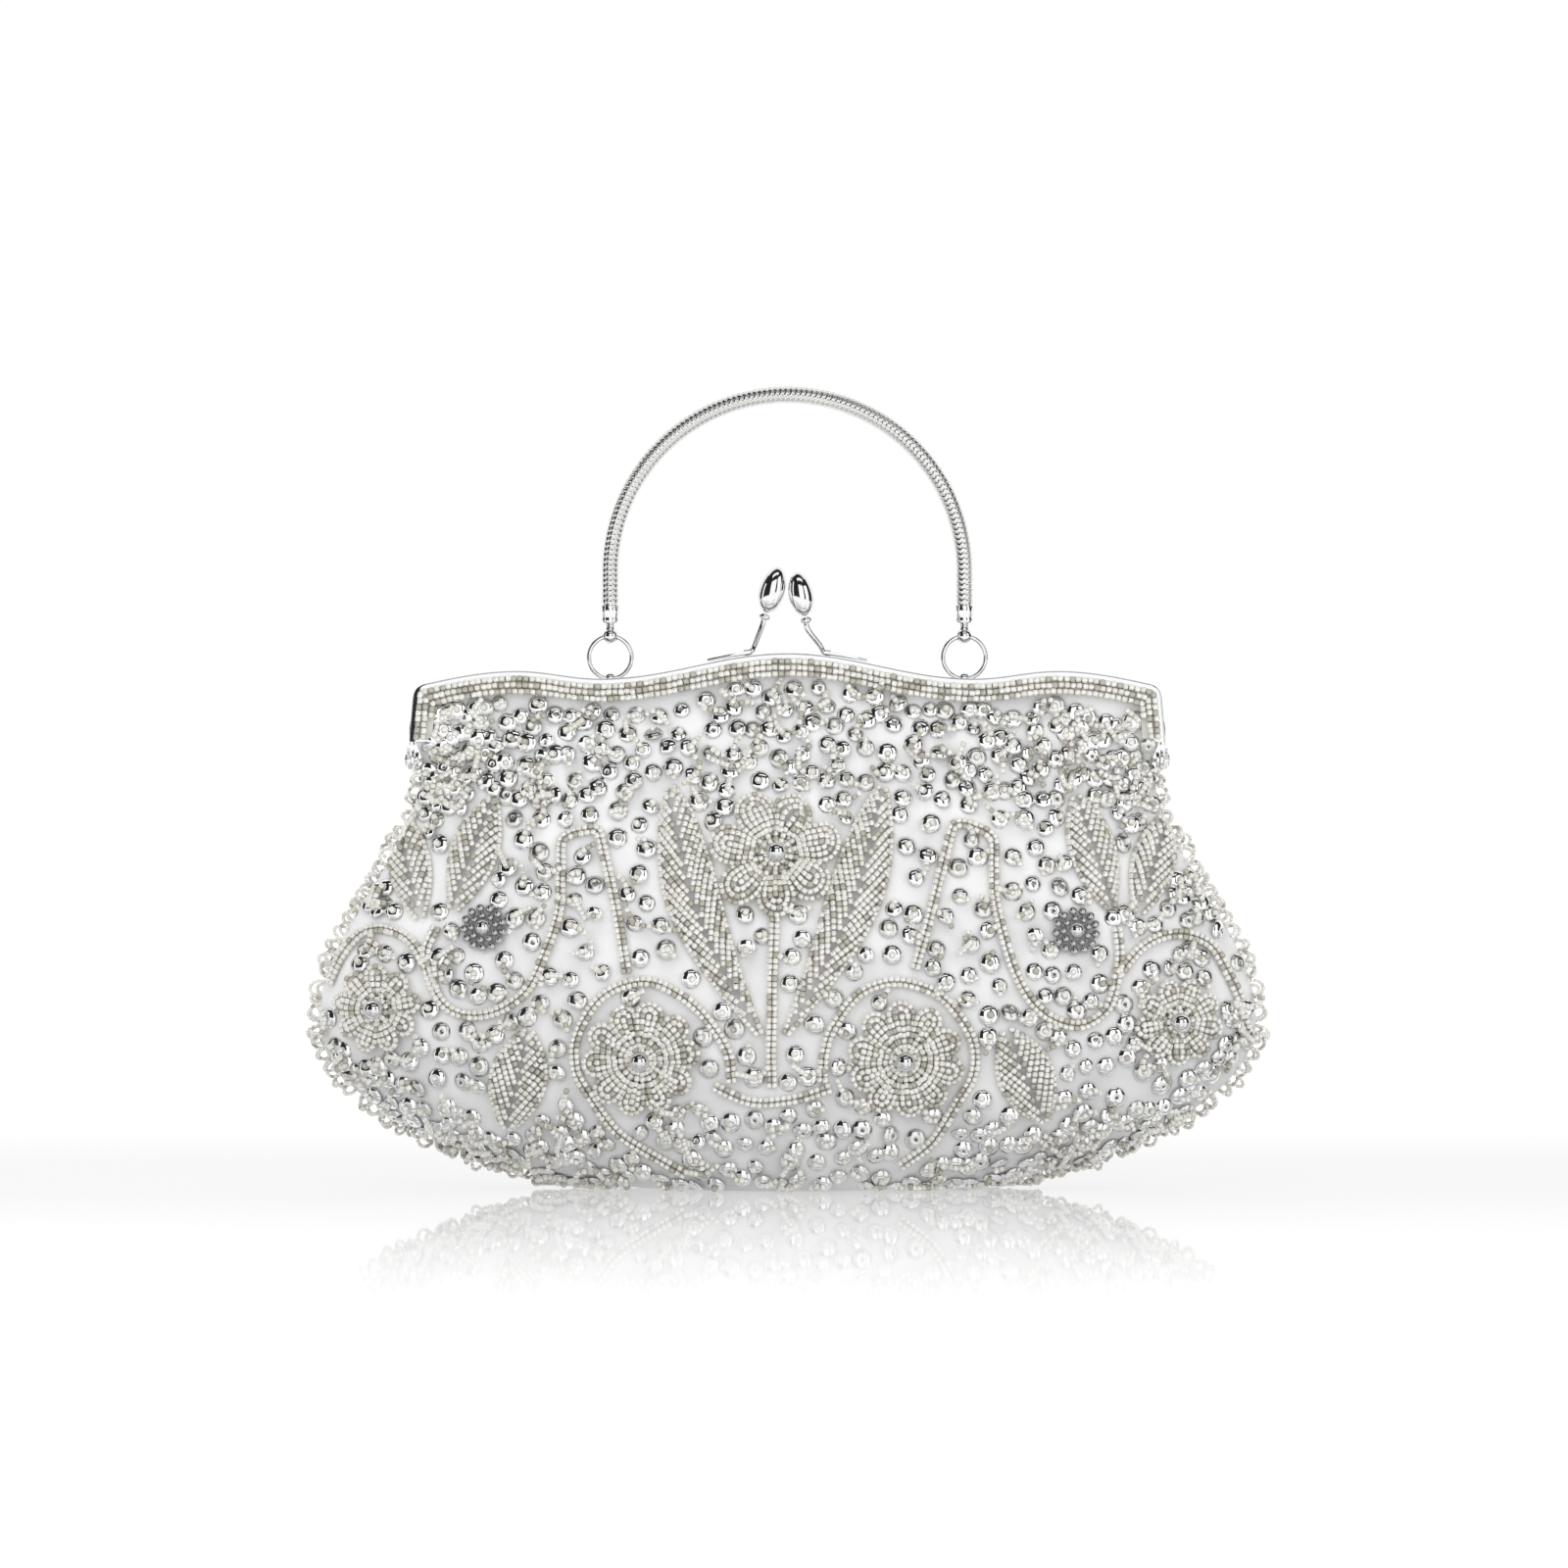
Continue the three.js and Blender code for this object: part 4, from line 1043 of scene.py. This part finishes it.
trim("front_trim_beads", "front_bead_trim", "front_half", False)
trim("rear_trim_beads", "rear_bead_trim", "pouch", True)

for name in ("front_frame_cord", "rear_frame_cord"):
    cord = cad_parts[name]
    cord.data.materials.clear()
    cord.data.materials.append(paper)

# --- clasp


def clasp_foot():
    """A strip on top of the rim, thinner toward its outer end."""
    n, rings = 16, 40
    a = np.linspace(0, 2 * np.pi, n + 1)[:-1]
    across = np.sign(np.cos(a)) * np.abs(np.cos(a)) ** 0.6
    up = np.sign(np.sin(a)) * np.abs(np.sin(a)) ** 0.6
    taper = np.minimum(1, np.sin(np.linspace(0.12, 1, rings) * np.pi / 2) * 1.1)
    strip = []
    for x, wide in zip(-np.linspace(24, 11, rings), taper):
        z = float(rim(x)) + 0.9 + 0.6 * up * (0.55 + 0.45 * wide)
        strip.append(np.stack([np.full(n, x), RIM_Y + 1.6 * wide * across, z], -1))
    return capped(np.concatenate(strip), rings, n, strip[0].mean(0), strip[-1].mean(0))


def clasp(ball):
    """Stem with its foot and collar, and the ball, for the front rim."""
    tilt = math.radians(ball["tilt"])
    axis = np.array([math.sin(tilt), 0, math.cos(tilt)])
    centre = np.array([-ball["x"], 0.8, ball["height"]])
    collar_top = centre - axis * (ball["length"] / 2 + 0.3)
    collar_low = collar_top - axis * 1.9
    foot = float(rim(13.0)) + 0.9
    knee = float(rim(9.8)) + 3
    knee_y = RIM_Y + (collar_low[1] - RIM_Y) * 0.35
    pts = [(-13, RIM_Y, foot + 0.2), (-11, RIM_Y, foot + 0.6), (-9.8, knee_y, knee),
           tuple(collar_low - axis * 1.9), tuple(collar_top - axis * 0.95)]
    collar = [(0, 0), (1.2, 0.0), (1.62, 0.22), (1.86, 0.6), (1.9, 0.95), (1.86, 1.3), (1.62, 1.68),
              (1.2, 1.9), (0, 1.9)]
    v, q, t = lathe(collar, 32)
    stem = joined([tube(curve(pts, 60), 0.95, 20), (turned_to(v, axis) + collar_low, q, t), clasp_foot()])
    steps = 28
    profile = []
    for i in range(steps + 1):
        angle = math.pi * i / steps
        r = 0 if i % steps == 0 else ball["radius"] * math.sin(angle) * (1 + 0.12 * math.cos(angle))
        profile.append((r, -ball["length"] / 2 * math.cos(angle)))
    v, q, t = lathe(profile, 48)
    return stem, (turned_to(v, axis) + centre, q, t)


for place, ball, body in (
    ("front", {"x": 4.45, "height": 179.7, "tilt": 16, "length": 14.4, "radius": 4.1}, "front_half"),
    ("rear", {"x": 4.05, "height": 178.4, "tilt": 11.4, "length": 13.6, "radius": 3.85}, "pouch"),
):
    stem, knob = clasp(ball)
    metal(place + "_stem", stem, place + "_clasp_stem", body, rear=place == "rear")
    metal(place + "_ball", knob, place + "_clasp_ball", body, rear=place == "rear")

# --- handle


def moved(part, x, y, z):
    v, q, t = part
    return v + np.array([x, y, z]), q, t


def around_x(part):
    """Turns a piece made about Z so that it is about X."""
    v, q, t = part
    return np.stack([v[:, 2], v[:, 0], v[:, 1]], -1), q, t


def eye():
    """A bell: a drilled ball with a neck above it."""
    ball, bore = 2.45, 1.5
    half = math.sqrt(ball ** 2 - bore ** 2)
    arc = np.linspace(-math.acos(bore / ball), math.acos(bore / ball), 16)
    profile = [(ball * math.cos(b), ball * math.sin(b)) for b in arc]
    band = around_x(closed_lathe(profile + [(bore, half * 0.4), (bore, -half * 0.4)], 56))
    neck = lathe([(0, 1.7), (1.5, 1.75), (1.62, 2.0), (1.42, 2.35), (1.25, 2.7), (1.25, 3.3), (1.4, 3.45),
                  (1.4, 4.0), (0, 4.0)], 32)
    return joined([band, neck])


def ferrule():
    """A crimped cup whose upper edge is scalloped over the chain."""
    n = 64
    a = np.arange(n) * 2 * np.pi / n
    wave = 0.42 * np.abs(np.sin(4 * a))
    rows = [(0.6, 0.0, 0), (2.2, 0.0, 0), (2.55, 0.15, 0), (2.72, 0.5, 0), (2.75, 1.2, 0), (2.62, 1.5, 0),
            (2.62, 1.8, 0), (2.75, 2.1, 0), (2.75, 4.2, 0), (2.8, 4.9, 1), (2.72, 5.05, 1), (2.6, 4.95, 1),
            (2.6, 4.0, 0), (0.6, 4.0, 0)]
    v = np.concatenate([np.stack([r * np.cos(a), r * np.sin(a), z + k * wave], -1) for r, z, k in rows])
    return capped(v, len(rows), n, [0, 0, 0.0], [0, 0, 4.0])


for name, side in (("left", -1), ("right", 1)):
    x = side * SPAN
    lug = around_x(closed_lathe(oval(1.58, 0.33, 1.2, 16), 48))
    metal("lug_" + name, moved(lug, x, LUG_Y, DIP), "handle_lug_" + name, "pouch")
    v, q, t = closed_lathe(oval(RING, 0.75, 0.75, 18), 72)
    ring = np.stack([v[:, 0] + x, v[:, 2] + LUG_Y, EYE_Z - RING - v[:, 1]], -1), q, t
    metal("ring_" + name, ring, "handle_ring_" + name, name + "_ring")
    metal("eye_" + name, moved(eye(), x, LUG_Y, EYE_Z), "handle_eye_" + name, "handle")
    metal("ferrule_" + name, moved(ferrule(), x, LUG_Y, FERRULE_Z), "handle_ferrule_" + name, "handle")


def snake_chain():
    """A round chain of zigzag plates along the arch."""
    leg, arc = ARCH_Z - CHAIN_Z, math.pi * SPAN
    total = 2 * leg + arc
    pitch, radius = 1.55, 2.5
    rows, n = int(total / pitch * 9), 44
    s = np.linspace(0, total, rows)
    angle = np.pi * (1 - np.clip((s - leg) / arc, 0, 1))
    px = SPAN * np.cos(angle)
    straight = np.where(s < leg, CHAIN_Z + s, ARCH_Z - (s - leg - arc))
    pz = np.where((s < leg) | (s > leg + arc), straight, ARCH_Z + SPAN * np.sin(angle))
    a = np.arange(n) * 2 * np.pi / n
    out = np.stack([np.cos(angle), 0 * angle, np.sin(angle)], -1)
    across = np.array([0.0, 1.0, 0.0])
    # eight columns of slanted plates, parted by a groove across and a finer one along
    zigzag = np.abs(((a / (2 * np.pi) * 8) % 1) * 2 - 1)
    phase = (s[:, None] / pitch + 0.5 * zigzag[None, :]) % 1
    crosswise = 0.30 * np.exp(-((phase - 0.5) / 0.16) ** 2)
    lengthwise = 0.10 * np.exp(-(np.minimum(zigzag, 1 - zigzag)[None, :] / 0.10) ** 2)
    fade = smooth(np.minimum(s, total - s) / 1.0)[:, None]
    r = (radius - crosswise - lengthwise + 0.10 * (phase - 0.5)) * fade + (radius - 0.15) * (1 - fade)
    centre = np.stack([px, np.full(rows, LUG_Y), pz], -1)
    v = (centre[:, None, :] + r[..., None] * (np.cos(a)[None, :, None] * out[:, None, :]
                                              + np.sin(a)[None, :, None] * across[None, None, :]))
    return capped(v.reshape(-1, 3), rows, n, centre[0], centre[-1])


metal("snake_chain", snake_chain(), "snake_chain_handle", "handle", mat=steel, sharp=80)

# --- beadwork pieces

for name, store in motifs.items():
    kind = "silver_beads" if name.startswith("rosette") else "glass_beads"
    stands_for = {"vines": [], "flower": [name, name + "_bead"]}.get(name.split("_")[0], [name])
    enter(store.object("beads_" + name), kind, "pouch", *stands_for)
    enter(store.object("rear_beads_" + name, rear=True), kind, "pouch")

for name, store, body in (
    ("low", low_sequins, "pouch"),
    ("middle", middle_sequins, "pouch"),
    ("high", high_sequins, "bending"),
):
    enter(store.object("sequins_" + name), "silver_beads", body)
    enter(store.object("rear_sequins_" + name, rear=True), "silver_beads", "pouch")

# --- stage, light and camera


def flat_piece(name, place, width, height, facing, paint):
    """A plane for the stage, turned to face a point."""
    bpy.ops.mesh.primitive_plane_add(size=1, location=place)
    o = bpy.context.object
    o.name = name
    o.scale = (width, height, 1)
    if facing is not None:
        o.rotation_euler = (Vector(facing) - Vector(place)).to_track_quat("Z", "Y").to_euler()
    o.data.materials.append(paint)
    return o


def bare(name):
    """A material with nothing in it but its output node."""
    m = bpy.data.materials.new(name)
    m.use_nodes = True
    m.node_tree.nodes.clear()
    return m, node(m, "ShaderNodeOutputMaterial")


def floor_finish():
    """White glossy acrylic, lit from below; its mirror image of the bag fades away from it."""
    m, end = bare("white_floor")
    glow = node(m, "ShaderNodeEmission", Strength=1.12)
    gloss = node(m, "ShaderNodeBsdfGlossy", Roughness=0.03)
    matte = node(m, "ShaderNodeBsdfDiffuse", Color=(0.9, 0.9, 0.9, 1))
    lit = node(m, "ShaderNodeMixShader", Fac=0.2)
    both = node(m, "ShaderNodeMixShader")
    at = node(m, "ShaderNodeTexCoord")
    split = node(m, "ShaderNodeSeparateXYZ")
    fade = node(m, "ShaderNodeMapRange", From_Min=-0.40, From_Max=-0.02, To_Min=0.0, To_Max=0.6)
    past = node(m, "ShaderNodeMapRange", From_Min=0.1, From_Max=0.5, To_Min=1.0, To_Max=0.0)
    share = node(m, "ShaderNodeMath", operation="MULTIPLY")
    for a, out, b, into in (
        (at, "Object", split, "Vector"),
        (split, "Y", fade, "Value"),
        (split, "Y", past, "Value"),
        (fade, "Result", share, 0),
        (past, "Result", share, 1),
        (glow, 0, lit, 1),
        (matte, 0, lit, 2),
        (share, 0, both, 0),
        (lit, 0, both, 1),
        (gloss, 0, both, 2),
        (both, 0, end, "Surface"),
    ):
        wire(m, a, out, b, into)
    return m


def glow_finish(name, strength):
    m, end = bare(name)
    wire(m, node(m, "ShaderNodeEmission", Strength=strength), 0, end, "Surface")
    return m


floor = flat_piece("floor", (0, 0, -0.0002), 1, 1, None, floor_finish())
floor.data.transform(Matrix.Scale(60, 4))
black = material("black_card", (0.01, 0.01, 0.011), 0.95)
white = glow_finish("white_card", 1.15)
# What the polished parts mirror: black cards round the front, with white ones standing before them
for name, place, width, height, facing, paint in (
    ("card_front", (0, -1.9, 0.9), 4.4, 2.6, (0, 0, 0.9), black),
    ("card_left", (-1.9, -0.60, 0.9), 2.7, 2.6, (0, -0.60, 0.9), black),
    ("card_right", (1.9, -0.75, 0.9), 2.4, 2.6, (0, -0.75, 0.9), black),
    ("card_top", (0, -0.95, 2.2), 3.8, 2.0, (0, -0.95, 0), black),
    ("mirror_front", (0.16, -1.7, 0.55), 1.25, 1.5, (0, 0, 0.2), white),
    ("mirror_right", (1.25, -0.95, 0.55), 0.85, 1.3, (0, 0, 0.2), white),
    ("mirror_left", (-1.45, -0.45, 0.5), 0.3, 1.1, (0, 0, 0.2), white),
    ("mirror_top", (0.15, -0.9, 1.6), 1.5, 0.35, (0, 0, 0.2), white),
):
    card = flat_piece(name, place, width, height, facing, paint)
    card.visible_camera = False
    card.visible_diffuse = False
    card.visible_shadow = False

world = bpy.data.worlds.new("studio")
bpy.context.scene.world = world
world.use_nodes = True
sky = world.node_tree.nodes["Background"]
sky.inputs["Color"].default_value = (1.0, 1.0, 1.0, 1)
sky.inputs["Strength"].default_value = 1.02


def softbox(name, place, width, height, radiance):
    light = bpy.data.lights.new(name, "AREA")
    light.shape = "RECTANGLE"
    light.size = width
    light.size_y = height
    light.energy = radiance * math.pi * width * height
    o = bpy.data.objects.new(name, light)
    bpy.context.scene.collection.objects.link(o)
    o.location = place
    o.rotation_euler = (Vector((0, 0, 0.1)) - Vector(place)).to_track_quat("-Z", "Y").to_euler()
    o.visible_glossy = False


softbox("softbox_left", (-0.95, -0.75, 0.75), 0.55, 0.85, 1.65)
softbox("softbox_right", (0.95, -0.85, 0.50), 0.60, 0.95, 0.7)
softbox("softbox_top", (-0.2, -0.45, 1.35), 0.75, 0.45, 2.8)
softbox("softbox_back", (0.0, 0.9, 1.1), 0.6, 0.6, 2.5)

camera = bpy.data.cameras.new("camera")
camera.lens = 120
camera.sensor_width = 36
camera_object = bpy.data.objects.new("camera", camera)
bpy.context.scene.collection.objects.link(camera_object)
camera_object.location = (-0.001, -1.569, 0.135)
camera_object.rotation_euler = (math.radians(90 - 0.5), 0, 0)
bpy.context.scene.camera = camera_object
bpy.context.scene.view_settings.view_transform = "Standard"
